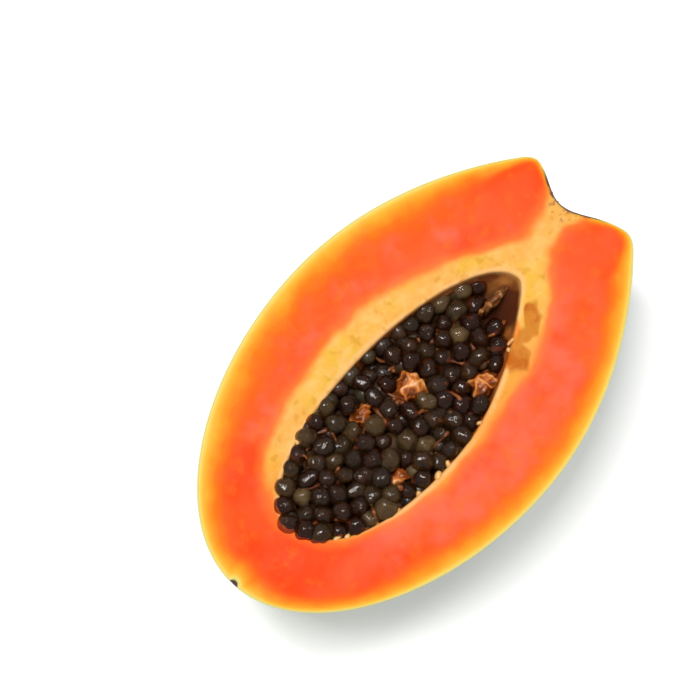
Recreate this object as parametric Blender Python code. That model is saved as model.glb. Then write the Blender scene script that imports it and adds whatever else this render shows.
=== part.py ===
"""A papaya cut in half lengthwise, lying on its rind with the cut face up.

Two pieces: the fruit half, which grew as one body of rind, flesh and placenta, and the
mass of seeds that fills its cavity. Both are shaped in the fruit's own frame, whose origin
is the middle of the cut face, with +X towards the stem, +Y to the left seen from the
blossom end and +Z up out of the cut. An empty then stands that frame on the table.
"""

from math import pi, radians

import bmesh
import bpy
import numpy as np
from mathutils import Matrix, Vector

# The whole fruit's outline. Its widest ring, the belly, is a little nearer the stem.
BELLY_X = 0.0035
BELLY_RADIUS = 0.0577
BLOSSOM_REACH = 0.0935
STEM_REACH = 0.0993
BLOSSOM_SLIMMING = 0.037
STEM_SLIMMING = 0.22
SHOULDER_SWELL = 0.0035
LOBES = 5
LOBE_HEIGHT = 0.0005
STEM_LOBE_HEIGHT = 0.0014

# The blunt stem end, with the hollow that the stalk leaves: off centre, steeper on +Y and
# deeper than it is wide.
STEM_END_X = 0.0932
SHOULDER_ROUNDING = 0.004
HOLLOW_DEPTH = 0.0086
HOLLOW_Y = 0.0040
HOLLOW_SPREAD = 0.0132
HOLLOW_SKEW = 0.0012
HOLLOW_STRETCH = 1.45

# The small round scar that the flower leaves at the other end.
SCAR_PLACE = Vector((-0.0902, 0.0, 0.0))
SCAR_RADIUS = 0.0019
SCAR_ROUNDING = 0.0005

# The seed cavity, from its own centre.
CAVITY_CENTRE = Vector((-0.008, -0.002, 0.0))
CAVITY_BLOSSOM_REACH = 0.0545
CAVITY_STEM_REACH = 0.0625
CAVITY_LEFT = 0.022
CAVITY_RIGHT = 0.0255
CAVITY_DEPTH = 0.021
CAVITY_BLOSSOM_SLIMMING = -0.12
CAVITY_LEFT_SLIMMING = 0.03
CAVITY_RIGHT_SLIMMING = 0.55
CAVITY_LOBE = 0.05

# Cushions of placenta that show bare between the seeds: X, Y, and half sizes along X and Y.
# The last is the ridge that runs into the stem end of the cavity.
CUSHIONS = (
    (0.001, 0.001, 0.0072, 0.0062),
    (-0.0175, 0.0065, 0.0052, 0.0038),
    (0.019, -0.0175, 0.0066, 0.0050),
    (-0.025, -0.017, 0.0050, 0.0032),
    (0.044, -0.0005, 0.0095, 0.0019),
)
CUSHION_TOP = -0.0030
CUSHION_ROOT = -0.0205

# The seeds in their jelly. Their bed slopes down to the bare hollow at the stem end, where it
# drops away, and reaches further there on +Y.
SEED_COUNT = 94
SEED_RADIUS = 0.0034
SEED_RADIUS_SPREAD = 0.0005
SEED_STRETCH = 1.1
SEED_SPACING = 0.0065
SEED_WALL_ROOM = 0.0028
SEED_CUSHION_ROOM = 0.0020
SEED_HEIGHT_SPREAD = 0.0013
BED_TOP_AT_BLOSSOM = 0.0016
BED_FALL = 0.055
BED_BLOSSOM_X = -0.062
BED_STEM_X = 0.045
BED_STEM_SLANT = 0.7
BED_END_STEEPNESS = 1.4
CORE_BELOW_TOP = 0.0030
SEED_DRAW = 11
SPREADING_ROUNDS = 300
SPREADING_EASE = 0.4

# The flat spot that the half rests on, and the gaps kept between the two pieces.
FLAT_DEPTH = 0.0015
WALL_GAP = 0.0010
CORE_GAP = 0.0015
CUSHION_GAP = 0.0006

# Facets round and along each form. The rings stand closer near the two ends.
FRUIT_AROUND, FRUIT_ALONG = 48, 40
CAVITY_AROUND, CAVITY_ALONG = 28, 32
CUSHION_AROUND, CUSHION_ALONG = 12, 8
RING_CROWDING = 0.4
HALVINGS = 40
PROBE = 1e-5
TINY = 1e-9
SMOOTH_UP_TO = radians(35)

COLOURS = {
    "rind": (0.16, 0.24, 0.03),
    "flesh": (0.95, 0.22, 0.03),
    "placenta": (0.95, 0.55, 0.18),
    "seed": (0.03, 0.022, 0.016),
}
ROUGHNESS = {"rind": 0.42, "flesh": 0.35, "placenta": 0.4, "seed": 0.18}


def material(name):
    made = bpy.data.materials.new(name)
    made.use_nodes = True
    shader = made.node_tree.nodes["Principled BSDF"]
    shader.inputs["Base Color"].default_value = (*COLOURS[name], 1)
    shader.inputs["Roughness"].default_value = ROUGHNESS[name]
    shader.inputs["Metallic"].default_value = 0
    return made


def collection(name):
    made = bpy.data.collections.new(name)
    bpy.context.scene.collection.children.link(made)
    return made


def placed(name, bm, home, stuff):
    """Writes the bmesh to a new object in the collection home, with the material stuff."""
    mesh = bpy.data.meshes.new(name)
    bm.to_mesh(mesh)
    bm.free()
    mesh.materials.append(stuff)
    made = bpy.data.objects.new(name, mesh)
    home.objects.link(made)
    return made


def cutter(name, bm, stuff):
    made = placed(name, bm, bpy.data.collections["cutters"], stuff)
    made.hide_render = True
    made.display_type = "WIRE"
    return made


def combine(target, operation, other):
    """Applies one Boolean of target with an object or a collection."""
    boolean = target.modifiers.new(operation.lower(), "BOOLEAN")
    boolean.operation = operation
    boolean.material_mode = "TRANSFER"
    if isinstance(other, bpy.types.Collection):
        boolean.operand_type = "COLLECTION"
        boolean.collection = other
    else:
        boolean.object = other
    bpy.context.view_layer.objects.active = target
    bpy.ops.object.modifier_apply(modifier=boolean.name)


def slim_ellipse(share, slimming):
    """Width of an ellipse at a share of its reach, drawn in by the square of that share."""
    share = np.clip(share, -1, 1)
    return np.sqrt(1 - share**2) * (1 - slimming * share**2)


def smooth_max(a, b, rounding):
    """The greater of a and b, with the crease between them rounded off."""
    mix = np.clip(0.5 + 0.5 * (a - b) / rounding, 0, 1)
    return b + (a - b) * mix + rounding * mix * (1 - mix)


def fruit_surface(p):
    """Negative inside the whole fruit: an egg of five faint lobes, square-shouldered and dimpled
    at the stem end, with a scar at the other."""
    along = p[:, 0] - BELLY_X
    share = along / np.where(along < 0, BLOSSOM_REACH, STEM_REACH)
    slimming = np.where(along < 0, BLOSSOM_SLIMMING, STEM_SLIMMING)
    turn = np.arctan2(p[:, 2], p[:, 1])
    towards_stem = np.clip(share, 0, 1) ** 2
    lobe = LOBE_HEIGHT + STEM_LOBE_HEIGHT * towards_stem
    width = BELLY_RADIUS * slim_ellipse(share, slimming) + SHOULDER_SWELL * towards_stem**4
    width = width - lobe * np.sqrt(1 - np.clip(share, -1, 1) ** 2) * np.sin(LOBES * turn)
    body = np.hypot(p[:, 1], p[:, 2]) - width + np.maximum(np.abs(share) - 1, 0)

    side = p[:, 1] - HOLLOW_Y
    off_axis = np.hypot(side, p[:, 2] / HOLLOW_STRETCH) + TINY
    spread = HOLLOW_SPREAD - HOLLOW_SKEW * side / off_axis
    end = STEM_END_X - HOLLOW_DEPTH * np.exp(-((off_axis / spread) ** 2))
    scar = SCAR_RADIUS - np.linalg.norm(p - np.array(SCAR_PLACE), axis=1)
    whole = smooth_max(body, p[:, 0] - end, SHOULDER_ROUNDING)
    return smooth_max(whole, scar, SCAR_ROUNDING)


def cavity_surface(p):
    """Negative inside the cavity, from its own centre: a deeper-bellied spindle of five lobes."""
    reach = np.where(p[:, 0] < 0, CAVITY_BLOSSOM_REACH, CAVITY_STEM_REACH)
    share = p[:, 0] / reach
    turn = np.arctan2(p[:, 2], p[:, 1])
    rightness = (1 - np.cos(turn)) / 2
    stem_slimming = CAVITY_LEFT_SLIMMING + (CAVITY_RIGHT_SLIMMING - CAVITY_LEFT_SLIMMING) * rightness
    slimming = np.where(p[:, 0] < 0, CAVITY_BLOSSOM_SLIMMING, stem_slimming)
    half_width = np.where(p[:, 1] > 0, CAVITY_LEFT, CAVITY_RIGHT)
    across = np.hypot(p[:, 1] / half_width, p[:, 2] / CAVITY_DEPTH)
    lobe = 1 - CAVITY_LOBE * np.sin(turn) ** 2 * (1 + np.cos(LOBES * 2 * turn)) / 2
    return across - lobe * slim_ellipse(share, slimming) + np.maximum(np.abs(share) - 1, 0)


def reach_to(surface, rays, furthest):
    """How far each ray runs from the origin before it leaves the surface, by halving."""
    near = np.zeros(len(rays))
    far = np.full(len(rays), furthest)
    for _ in range(HALVINGS):
        middle = (near + far) / 2
        inside = surface(rays * middle[:, None]) < 0
        near = np.where(inside, middle, near)
        far = np.where(inside, far, middle)
    return near


def crowded_to_ends(rays):
    """The rays with their angle from the X axis drawn towards its two ends."""
    off_axis = np.hypot(rays[:, 1], rays[:, 2])
    angle = np.arctan2(off_axis, rays[:, 0])
    angle = angle - RING_CROWDING * np.sin(2 * angle) / 2
    sideways = np.sin(angle)[:, None] * rays[:, 1:] / (off_axis[:, None] + TINY)
    return np.column_stack([np.cos(angle), sideways])


def ball(around, along, reach):
    """A UV sphere with poles on the X axis, each vertex moved out its own ray by reach(rays)."""
    bm = bmesh.new()
    lying = Matrix.Rotation(radians(90), 4, "Y")
    bmesh.ops.create_uvsphere(bm, u_segments=around, v_segments=along, radius=1, matrix=lying)
    rays = crowded_to_ends(np.array([v.co.normalized() for v in bm.verts]))
    for vertex, ray, distance in zip(bm.verts, rays, reach(rays)):
        vertex.co = Vector(ray * distance)
    return bm


def slice_off(bm, point, outward):
    """Cuts away what lies beyond a plane, and closes the cut with one flat face."""
    everything = [*bm.verts, *bm.edges, *bm.faces]
    cut = bmesh.ops.bisect_plane(
        bm, geom=everything, plane_co=point, plane_no=outward, clear_outer=True, dist=1e-7
    )
    rim = [e for e in cut["geom_cut"] if isinstance(e, bmesh.types.BMEdge)]
    bmesh.ops.edgeloop_fill(bm, edges=rim)
    bmesh.ops.recalc_face_normals(bm, faces=bm.faces)


def half_fruit():
    """The lower half of the fruit, with its flat spot, before the cavity is cut."""
    def reach(rays):
        return reach_to(fruit_surface, rays, BLOSSOM_REACH + STEM_REACH)

    bm = ball(FRUIT_AROUND, FRUIT_ALONG, reach)
    slice_off(bm, Vector((0, 0, 0)), Vector((0, 0, 1)))
    slice_off(bm, Vector((0, 0, -BELLY_RADIUS + FLAT_DEPTH)), Vector((0, 0, -1)))
    return bm


def cavity_ball(gap):
    """The cavity as a solid, drawn in by gap from its wall."""
    furthest = 2 * CAVITY_STEM_REACH

    def reach(rays):
        return reach_to(cavity_surface, rays, furthest) - gap

    bm = ball(CAVITY_AROUND, CAVITY_ALONG, reach)
    bmesh.ops.translate(bm, verts=bm.verts, vec=CAVITY_CENTRE)
    return bm


def cushion_ball(x, y, half_x, half_y, gap):
    """A blunt egg of placenta that stands up from the cavity's floor, larger all over by gap."""
    middle = (CUSHION_TOP + CUSHION_ROOT) / 2
    half_z = (CUSHION_TOP - CUSHION_ROOT) / 2
    sizes = Vector((half_x + gap, half_y + gap, half_z + gap))
    bm = bmesh.new()
    bmesh.ops.create_uvsphere(bm, u_segments=CUSHION_AROUND, v_segments=CUSHION_ALONG, radius=1)
    bmesh.ops.scale(bm, verts=bm.verts, vec=sizes)
    bmesh.ops.translate(bm, verts=bm.verts, vec=Vector((x, y, middle)))
    return bm


def bed_top(x):
    """Height of the top of the seeds over the cut face, which falls towards the stem."""
    return BED_TOP_AT_BLOSSOM - BED_FALL * (x - BED_BLOSSOM_X)


def wall_overreach(points):
    """How far each point must move in plan, and which way, to stand clear of the cavity's edge."""

    def depth(plan):
        local = np.column_stack([plan - np.array(CAVITY_CENTRE)[:2], np.zeros(len(plan))])
        return -cavity_surface(local) * min(CAVITY_LEFT, CAVITY_RIGHT)

    here = depth(points)
    along_x = depth(points + [PROBE, 0]) - here
    along_y = depth(points + [0, PROBE]) - here
    slope = np.column_stack([along_x, along_y])
    inward = slope / (np.linalg.norm(slope, axis=1, keepdims=True) + TINY)
    move = inward * np.clip(SEED_WALL_ROOM - here, 0, None)[:, None]
    stem_limit = BED_STEM_X - SEED_RADIUS + BED_STEM_SLANT * points[:, 1]
    move[:, 0] -= np.clip(points[:, 0] - stem_limit, 0, None)
    return move


def cushion_push(points):
    """The move in plan that takes each point off any cushion that it stands on."""
    move = np.zeros_like(points)
    for x, y, half_x, half_y in CUSHIONS:
        sizes = np.array([half_x, half_y]) + SEED_CUSHION_ROOM
        away = (points - [x, y]) / sizes
        share = np.linalg.norm(away, axis=1, keepdims=True) + TINY
        move += np.where(share < 1, (1 / share - 1) * away * sizes, 0)
    return move


def crowding_push(points):
    """Half the move that parts each pair of seeds which are nearer than their spacing."""
    apart = points[:, None] - points[None]
    distance = np.linalg.norm(apart, axis=2) + TINY
    np.fill_diagonal(distance, 1)
    push = np.clip(SEED_SPACING - distance, 0, None) / distance
    return 0.5 * (apart * push[:, :, None]).sum(axis=1)


def seed_places(draw):
    """Plan places of the top seeds: a random scatter in the cavity that spreads out evenly."""
    low = np.array([BED_BLOSSOM_X, CAVITY_CENTRE.y - CAVITY_RIGHT])
    high = np.array([BED_STEM_X, CAVITY_CENTRE.y + CAVITY_LEFT])
    points = low + (high - low) * draw.random((SEED_COUNT, 2))
    for _ in range(SPREADING_ROUNDS):
        points = points + SPREADING_EASE * crowding_push(points)
        points = points + wall_overreach(points)
        points = points + cushion_push(points)
    return points


def seed_objects(home, stuff):
    """One object for each top seed: a slightly long ball, rolled any way, sunk in the bed."""
    draw = np.random.default_rng(SEED_DRAW)
    for number, (x, y) in enumerate(seed_places(draw)):
        size = SEED_RADIUS + SEED_RADIUS_SPREAD * draw.uniform(-1, 1)
        height = bed_top(x) - size + SEED_HEIGHT_SPREAD * draw.uniform(-1, 1)
        bm = bmesh.new()
        bmesh.ops.create_icosphere(bm, subdivisions=2, radius=size)
        bmesh.ops.scale(bm, verts=bm.verts, vec=Vector((SEED_STRETCH, 1, 1)))
        axis = Vector(draw.normal(size=3)).normalized()
        roll = Matrix.Rotation(draw.uniform(0, pi), 3, axis)
        bmesh.ops.rotate(bm, verts=bm.verts, matrix=roll)
        bmesh.ops.translate(bm, verts=bm.verts, vec=Vector((x, y, height)))
        placed(f"seed_{number:03d}", bm, home, stuff)


def seed_core():
    """The buried seeds as one lump: the cavity drawn in, cut down below the top seeds."""
    bm = cavity_ball(CORE_GAP)
    top = Vector((0, 0, bed_top(0) - CORE_BELOW_TOP))
    slice_off(bm, top, Vector((BED_FALL, 0, 1)).normalized())
    end = Vector((BED_STEM_X, 0, bed_top(BED_STEM_X) - CORE_BELOW_TOP))
    slice_off(bm, end, Vector((BED_END_STEEPNESS, 0, 1)).normalized())
    return bm


def keep_largest_body(thing):
    """Fills the hollows that fusing sealed, and drops loose scraps, by keeping the outermost skin."""
    bm = bmesh.new()
    bm.from_mesh(thing.data)
    unseen = set(bm.verts)
    skins = []
    while unseen:
        skin = {unseen.pop()}
        edge = set(skin)
        while edge:
            reached = {e.other_vert(v) for v in edge for e in v.link_edges}
            edge = reached - skin
            skin |= edge
        unseen -= skin
        skins.append(skin)
    largest = max(skins, key=len)
    spare = [v for skin in skins if skin is not largest for v in skin]
    bmesh.ops.delete(bm, geom=spare, context="VERTS")
    bm.to_mesh(thing.data)
    bm.free()
    thing.data.calc_loop_triangles()
    print(thing.name, "skins:", len(skins), "triangles:", len(thing.data.loop_triangles))


def remove_collection(home):
    for thing in list(home.objects):
        bpy.data.objects.remove(thing)
    bpy.data.collections.remove(home)


def build():
    for thing in list(bpy.data.objects):
        bpy.data.objects.remove(thing)
    stuff = {name: material(name) for name in COLOURS}
    papaya = collection("papaya")
    cutters = collection("cutters")
    loose_seeds = collection("loose_seeds")

    fruit = placed("papaya_half", half_fruit(), papaya, stuff["rind"])
    fruit.data.materials.append(stuff["flesh"])
    for face in fruit.data.polygons:
        face.material_index = int(face.normal.z > 0.999)
    cavity = cutter("cavity_cutter", cavity_ball(0), stuff["placenta"])
    combine(fruit, "DIFFERENCE", cavity)
    for number, sizes in enumerate(CUSHIONS):
        cushion = cutter(f"cushion_{number}", cushion_ball(*sizes, 0), stuff["placenta"])
        combine(fruit, "UNION", cushion)

    seeds = placed("seeds", seed_core(), papaya, stuff["seed"])
    seed_objects(loose_seeds, stuff["seed"])
    combine(seeds, "UNION", loose_seeds)
    combine(seeds, "INTERSECT", cutter("wall_trim", cavity_ball(WALL_GAP), stuff["seed"]))
    for number, sizes in enumerate(CUSHIONS):
        room = cutter(f"room_{number}", cushion_ball(*sizes, CUSHION_GAP), stuff["seed"])
        combine(seeds, "DIFFERENCE", room)
    remove_collection(loose_seeds)
    remove_collection(cutters)
    for thing in (fruit, seeds):
        keep_largest_body(thing)

    corners = np.array([v.co for v in fruit.data.vertices])
    middle = (corners.min(0) + corners.max(0)) / 2
    stand = bpy.data.objects.new("stand", None)
    stand.location = (-middle[0], -middle[1], BELLY_RADIUS - FLAT_DEPTH)
    papaya.objects.link(stand)
    for thing in (fruit, seeds):
        thing.parent = stand
        thing.data.shade_smooth()
        thing.data.set_sharp_from_angle(angle=SMOOTH_UP_TO)


build()
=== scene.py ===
# %% [markdown]
# # Half a papaya
# This lesson dresses a papaya that was cut in half lengthwise and laid on its rind, cut face up.
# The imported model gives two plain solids, the fruit half and the mass of seeds in its cavity. Each is
# replaced by finer surfaces of the same form: a thin rind, the flesh with its pale lining, a few
# cushions of that lining between the seeds, and the seeds themselves, each in its own jelly.
# We load the model first and keep its box, so that every later piece can be hung on it.

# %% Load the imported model
from math import cos, pi, radians, sin
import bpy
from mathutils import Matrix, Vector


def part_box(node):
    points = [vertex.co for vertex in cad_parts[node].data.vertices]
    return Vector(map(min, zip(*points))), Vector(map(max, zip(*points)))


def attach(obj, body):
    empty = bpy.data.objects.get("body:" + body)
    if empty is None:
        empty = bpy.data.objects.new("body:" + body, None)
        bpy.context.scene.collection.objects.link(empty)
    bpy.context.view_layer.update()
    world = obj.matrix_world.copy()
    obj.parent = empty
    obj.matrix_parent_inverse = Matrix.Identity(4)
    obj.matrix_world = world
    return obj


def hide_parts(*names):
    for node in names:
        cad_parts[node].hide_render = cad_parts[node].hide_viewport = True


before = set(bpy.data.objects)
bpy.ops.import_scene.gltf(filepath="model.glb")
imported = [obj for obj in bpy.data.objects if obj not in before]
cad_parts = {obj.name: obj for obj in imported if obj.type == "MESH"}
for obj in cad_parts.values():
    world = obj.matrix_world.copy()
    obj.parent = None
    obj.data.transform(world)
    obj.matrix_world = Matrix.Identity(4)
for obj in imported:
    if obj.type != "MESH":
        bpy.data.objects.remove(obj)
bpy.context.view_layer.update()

from types import SimpleNamespace

import bpy
import numpy as np
from mathutils import Vector

half_low, half_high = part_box("papaya_half")
print("fruit half, mm:", [round(value * 1000, 1) for value in half_high - half_low])

# %% [markdown]
# Every length below is in metres, measured in the fruit's own frame: the origin is the middle of the
# cut face, X runs towards the stem and Z up out of the cut. Colours are easier to judge as the
# numbers 0 to 255 that a screen shows, so one small function turns those into the linear light that
# a shader wants.

# %% Units and colours
MM = 0.001


def screen(red, green, blue):
    """Screen values 0 to 255 as linear light: the power 2.4 curve, with its straight foot."""
    share = np.array([red, green, blue]) / 255
    light = np.where(share <= 0.04045, share / 12.92, ((share + 0.055) / 1.055) ** 2.4)
    return (*(float(value) for value in light), 1.0)


# %% [markdown]
# ## The fruit's form
# A papaya is an egg with five faint lobes. The stem end is blunt and has a hollow where the stalk
# was; the blossom end has a small scar. One could model that with a subdivided cage, but the solids
# were made from a formula, so the same formula gives the fine skin exactly the same form. It is
# written as a function of space that is negative inside the fruit. Any ray from inside then
# crosses the skin where the function changes sign, and halving the step finds that place.

# %% The fruit as a function of space
BELLY_X = 3.5 * MM
BELLY_RADIUS = 57.7 * MM
BLOSSOM_REACH, STEM_REACH = 93.5 * MM, 99.3 * MM
BLOSSOM_SLIMMING, STEM_SLIMMING = 0.037, 0.22
SHOULDER_SWELL = 3.5 * MM
LOBES = 5
LOBE_HEIGHT, STEM_LOBE_HEIGHT = 0.5 * MM, 1.4 * MM
STEM_END_X = 93.2 * MM
SHOULDER_ROUNDING = 4.0 * MM
HOLLOW_DEPTH, HOLLOW_Y = 8.6 * MM, 4.0 * MM
HOLLOW_SPREAD, HOLLOW_SKEW, HOLLOW_STRETCH = 13.2 * MM, 1.2 * MM, 1.45
SCAR_PLACE = np.array([-90.2, 0.0, 0.0]) * MM
SCAR_RADIUS, SCAR_ROUNDING = 1.9 * MM, 0.5 * MM
FLAT_DEPTH = 1.5 * MM
TINY = 1e-9


def slim_ellipse(share, slimming):
    """Width of an ellipse at a share of its reach, drawn in by the square of that share."""
    share = np.clip(share, -1, 1)
    return np.sqrt(1 - share**2) * (1 - slimming * share**2)


def smooth_max(a, b, rounding):
    """The greater of a and b, with the crease between them rounded off over a length."""
    mix = np.clip(0.5 + 0.5 * (a - b) / rounding, 0, 1)
    return b + (a - b) * mix + rounding * mix * (1 - mix)


def hollow_distance(p):
    """Distance of points from the axis of the stalk's hollow, as a share of its spread."""
    side = p[..., 1] - HOLLOW_Y
    off_axis = np.hypot(side, p[..., 2] / HOLLOW_STRETCH) + TINY
    return off_axis / (HOLLOW_SPREAD - HOLLOW_SKEW * side / off_axis)


def fruit(p):
    """Negative inside the fruit: the greatest of three, which are the distance from the X axis
    less the egg's lobed width, the distance past the hollowed stem end, and how deep a point
    lies in the small round scar at the other end."""
    along = p[..., 0] - BELLY_X
    share = along / np.where(along < 0, BLOSSOM_REACH, STEM_REACH)
    slimming = np.where(along < 0, BLOSSOM_SLIMMING, STEM_SLIMMING)
    turn = np.arctan2(p[..., 2], p[..., 1])
    towards_stem = np.clip(share, 0, 1) ** 2
    lobe = LOBE_HEIGHT + STEM_LOBE_HEIGHT * towards_stem
    lobe = lobe * np.sqrt(1 - np.clip(share, -1, 1) ** 2) * np.sin(LOBES * turn)
    width = BELLY_RADIUS * slim_ellipse(share, slimming) + SHOULDER_SWELL * towards_stem**4 - lobe
    body = np.hypot(p[..., 1], p[..., 2]) - width + np.maximum(np.abs(share) - 1, 0)
    end = STEM_END_X - HOLLOW_DEPTH * np.exp(-hollow_distance(p) ** 2)
    scar = SCAR_RADIUS - np.linalg.norm(p - SCAR_PLACE, axis=-1)
    return smooth_max(smooth_max(body, p[..., 0] - end, SHOULDER_ROUNDING), scar, SCAR_ROUNDING)


# %% [markdown]
# ## The seed cavity
# The cavity is a spindle with a deeper belly, a little nearer the blossom end and wider on one side.
# Its own centre serves as the heart of the whole lesson: every ring of points on the rind, the cut
# face and the cavity wall is laid out by rays from there, so the pieces meet edge to edge.

# %% The cavity as a function of space
HEART = np.array([-8.0, -2.0, 0.0]) * MM
CAVITY_BLOSSOM_REACH, CAVITY_STEM_REACH = 54.5 * MM, 62.5 * MM
CAVITY_LEFT, CAVITY_RIGHT, CAVITY_DEPTH = 22.0 * MM, 25.5 * MM, 21.0 * MM
CAVITY_BLOSSOM_SLIMMING, CAVITY_LEFT_SLIMMING, CAVITY_RIGHT_SLIMMING = -0.12, 0.03, 0.55
CAVITY_LOBE = 0.05
HALVINGS = 26


def cavity(p):
    """Negative inside the cavity, with p from the heart: a slimmed ellipse along X, with another
    half width and slimness on each side and shallow grooves between the lobes."""
    reach = np.where(p[..., 0] < 0, CAVITY_BLOSSOM_REACH, CAVITY_STEM_REACH)
    share = p[..., 0] / reach
    turn = np.arctan2(p[..., 2], p[..., 1])
    rightness = (1 - np.cos(turn)) / 2
    stem_slimming = CAVITY_LEFT_SLIMMING + (CAVITY_RIGHT_SLIMMING - CAVITY_LEFT_SLIMMING) * rightness
    slimming = np.where(p[..., 0] < 0, CAVITY_BLOSSOM_SLIMMING, stem_slimming)
    half_width = np.where(p[..., 1] > 0, CAVITY_LEFT, CAVITY_RIGHT)
    across = np.hypot(p[..., 1] / half_width, p[..., 2] / CAVITY_DEPTH)
    lobe = 1 - CAVITY_LOBE * np.sin(turn) ** 2 * (1 + np.cos(LOBES * 2 * turn)) / 2
    return across - lobe * slim_ellipse(share, slimming) + np.maximum(np.abs(share) - 1, 0)


def reach_of(surface, start, rays, furthest):
    """How far each ray runs from start before it leaves the surface, by halving the step."""
    near = np.zeros(rays.shape[:-1])
    far = np.full(rays.shape[:-1], furthest)
    for _ in range(HALVINGS):
        middle = (near + far) / 2
        inside = surface(start + rays * middle[..., None]) < 0
        near = np.where(inside, middle, near)
        far = np.where(inside, far, middle)
    return near


# %% [markdown]
# ## Rings of points
# All the closed forms here, fruit, cushions and seeds alike, are stacks of rings between two poles.
# The columns of the big ones stand closer near the two ends of the fruit, where the outline bends
# most. A mesh is then only a matter of numbering: four neighbours make a face, and a fan of
# triangles closes each pole. Whole arrays go into the mesh at once with foreach_set.

# %% Columns, and a mesh from rings
COLUMNS = 512
END_CROWDING = 0.45

even_turn = np.linspace(0, 2 * pi, COLUMNS, endpoint=False)
turn = even_turn - END_CROWDING * np.sin(2 * even_turn) / 2
compass = np.column_stack([np.cos(turn), np.sin(turn), np.zeros(COLUMNS)])


def ring_faces(rows, columns):
    """Corner numbers of a closed stack: first pole, then rows of points, then the last pole."""
    row, column = np.meshgrid(np.arange(rows - 1), np.arange(columns), indexing="ij")
    here = 1 + row * columns + column
    beside = 1 + row * columns + (column + 1) % columns
    quads = np.stack([here, beside, beside + columns, here + columns], axis=-1).reshape(-1, 4)
    first = 1 + np.arange(columns)
    following = 1 + (np.arange(columns) + 1) % columns
    top = 1 + rows * columns
    last = first + (rows - 1) * columns
    start_fan = np.stack([np.zeros(columns, int), following, first], axis=-1)
    end_fan = np.stack([last, following + (rows - 1) * columns, np.full(columns, top)], axis=-1)
    return quads, np.vstack([start_fan, end_fan])


def many_ring_faces(rows, columns, count):
    """Corner numbers of a count of equal stacks whose points follow one another."""
    quads, triangles = ring_faces(rows, columns)
    offsets = (np.arange(count) * (rows * columns + 2))[:, None, None]
    return (quads + offsets).reshape(-1, 4), (triangles + offsets).reshape(-1, 3)


def stacked(rings):
    """Points of one stack, rows by columns by 3, with the mean of its end rows as the poles."""
    return np.vstack([rings[0].mean(0)[None], rings.reshape(-1, 3), rings[-1].mean(0)[None]])


def surface_object(name, points, quads, triangles, attributes=None):
    """A new smooth object in the scene from arrays of points, four-cornered and three-cornered
    faces, and named values or vectors for its points."""
    mesh = bpy.data.meshes.new(name)
    corners = np.concatenate([quads.ravel(), triangles.ravel()]).astype(np.int32)
    sides = np.concatenate([np.full(len(quads), 4), np.full(len(triangles), 3)])
    starts = np.concatenate([[0], np.cumsum(sides)[:-1]]).astype(np.int32)
    mesh.vertices.add(len(points))
    mesh.vertices.foreach_set("co", points.astype(np.float32).ravel())
    mesh.loops.add(len(corners))
    mesh.loops.foreach_set("vertex_index", corners)
    mesh.polygons.add(len(sides))
    mesh.polygons.foreach_set("loop_start", starts)
    for title, values in (attributes or {}).items():
        kind, field = ("FLOAT_VECTOR", "vector") if values.ndim == 2 else ("FLOAT", "value")
        layer = mesh.attributes.new(title, kind, "POINT")
        layer.data.foreach_set(field, values.astype(np.float32).ravel())
    mesh.update(calc_edges=True)
    mesh.validate()
    mesh.shade_smooth()
    thing = bpy.data.objects.new(name, mesh)
    bpy.context.scene.collection.objects.link(thing)
    print(name, "triangles:", 2 * len(quads) + len(triangles))
    return thing


# %% [markdown]
# Natural surfaces are never quite even. A handful of plane waves, each with its own direction,
# length and phase, adds up to a soft random relief. It costs nothing, has no seam anywhere in space,
# and comes out the same on every run because the draw is seeded.

# %% Soft random relief
def ripples(p, wavelength, seed, waves=16):
    """Random relief that mostly stays between -1 and 1: a sum of sines of distance along random
    directions, over random lengths about the wavelength, divided by the root of their number."""
    draw = np.random.default_rng(seed)
    ways = draw.normal(size=(waves, 3))
    ways /= np.linalg.norm(ways, axis=1, keepdims=True)
    lengths = wavelength * draw.uniform(0.6, 1.7, waves)
    phases = draw.uniform(0, 2 * pi, waves)
    total = np.zeros(p.shape[:-1])
    for way, length, phase in zip(ways, lengths, phases):
        total += np.sin(2 * pi * (p @ way) / length + phase)
    return total / np.sqrt(waves)


def ease(value, low, high):
    """0 below low, 1 above high, and a smooth cubic step between them."""
    share = np.clip((value - low) / (high - low), 0, 1)
    return share * share * (3 - 2 * share)


# %% [markdown]
# ## The cut face
# The knife leaves an almost flat face, yet it isn't a plane. It wavers a little with the blade, the
# pale lining sinks softly towards the cavity, and beside the lining some cut seed pockets lie open
# as shallow amber dents. The lining is a wide band on one side and a thin line on the other, and a
# strand of it runs on to the stalk. Its outer edge is given by the few points that the shape needs,
# turned to radius against angle and rounded by a moving average.

# %% The outline of the pale lining
LINING_EDGE_MM = (
    (-63.6, 0.0), (-56.4, 16.6), (-40.5, 25.0), (-20.6, 28.2), (-1.9, 30.6), (15.2, 29.2),
    (30.6, 23.6), (45.3, 17.0), (58.4, 9.6), (66.5, 4.2), (67.5, -3.5), (62.5, -9.5),
    (51.5, -17.6), (40.2, -23.2), (29.5, -26.6), (20.0, -27.0), (9.8, -27.4), (-7.2, -28.6),
    (-25.4, -27.6), (-41.7, -23.2), (-56.3, -14.8),
)
STRAND_START, STRAND_END = np.array([60.0, 0.0, 0.0]) * MM, np.array([85.0, 2.6, 0.0]) * MM
STRAND_HALF_WIDTH, STRAND_FLARE = 3.7 * MM, 3.0 * MM
STRAND_BLEND = 3.0 * MM
ROUNDING_STEPS = 11

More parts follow.
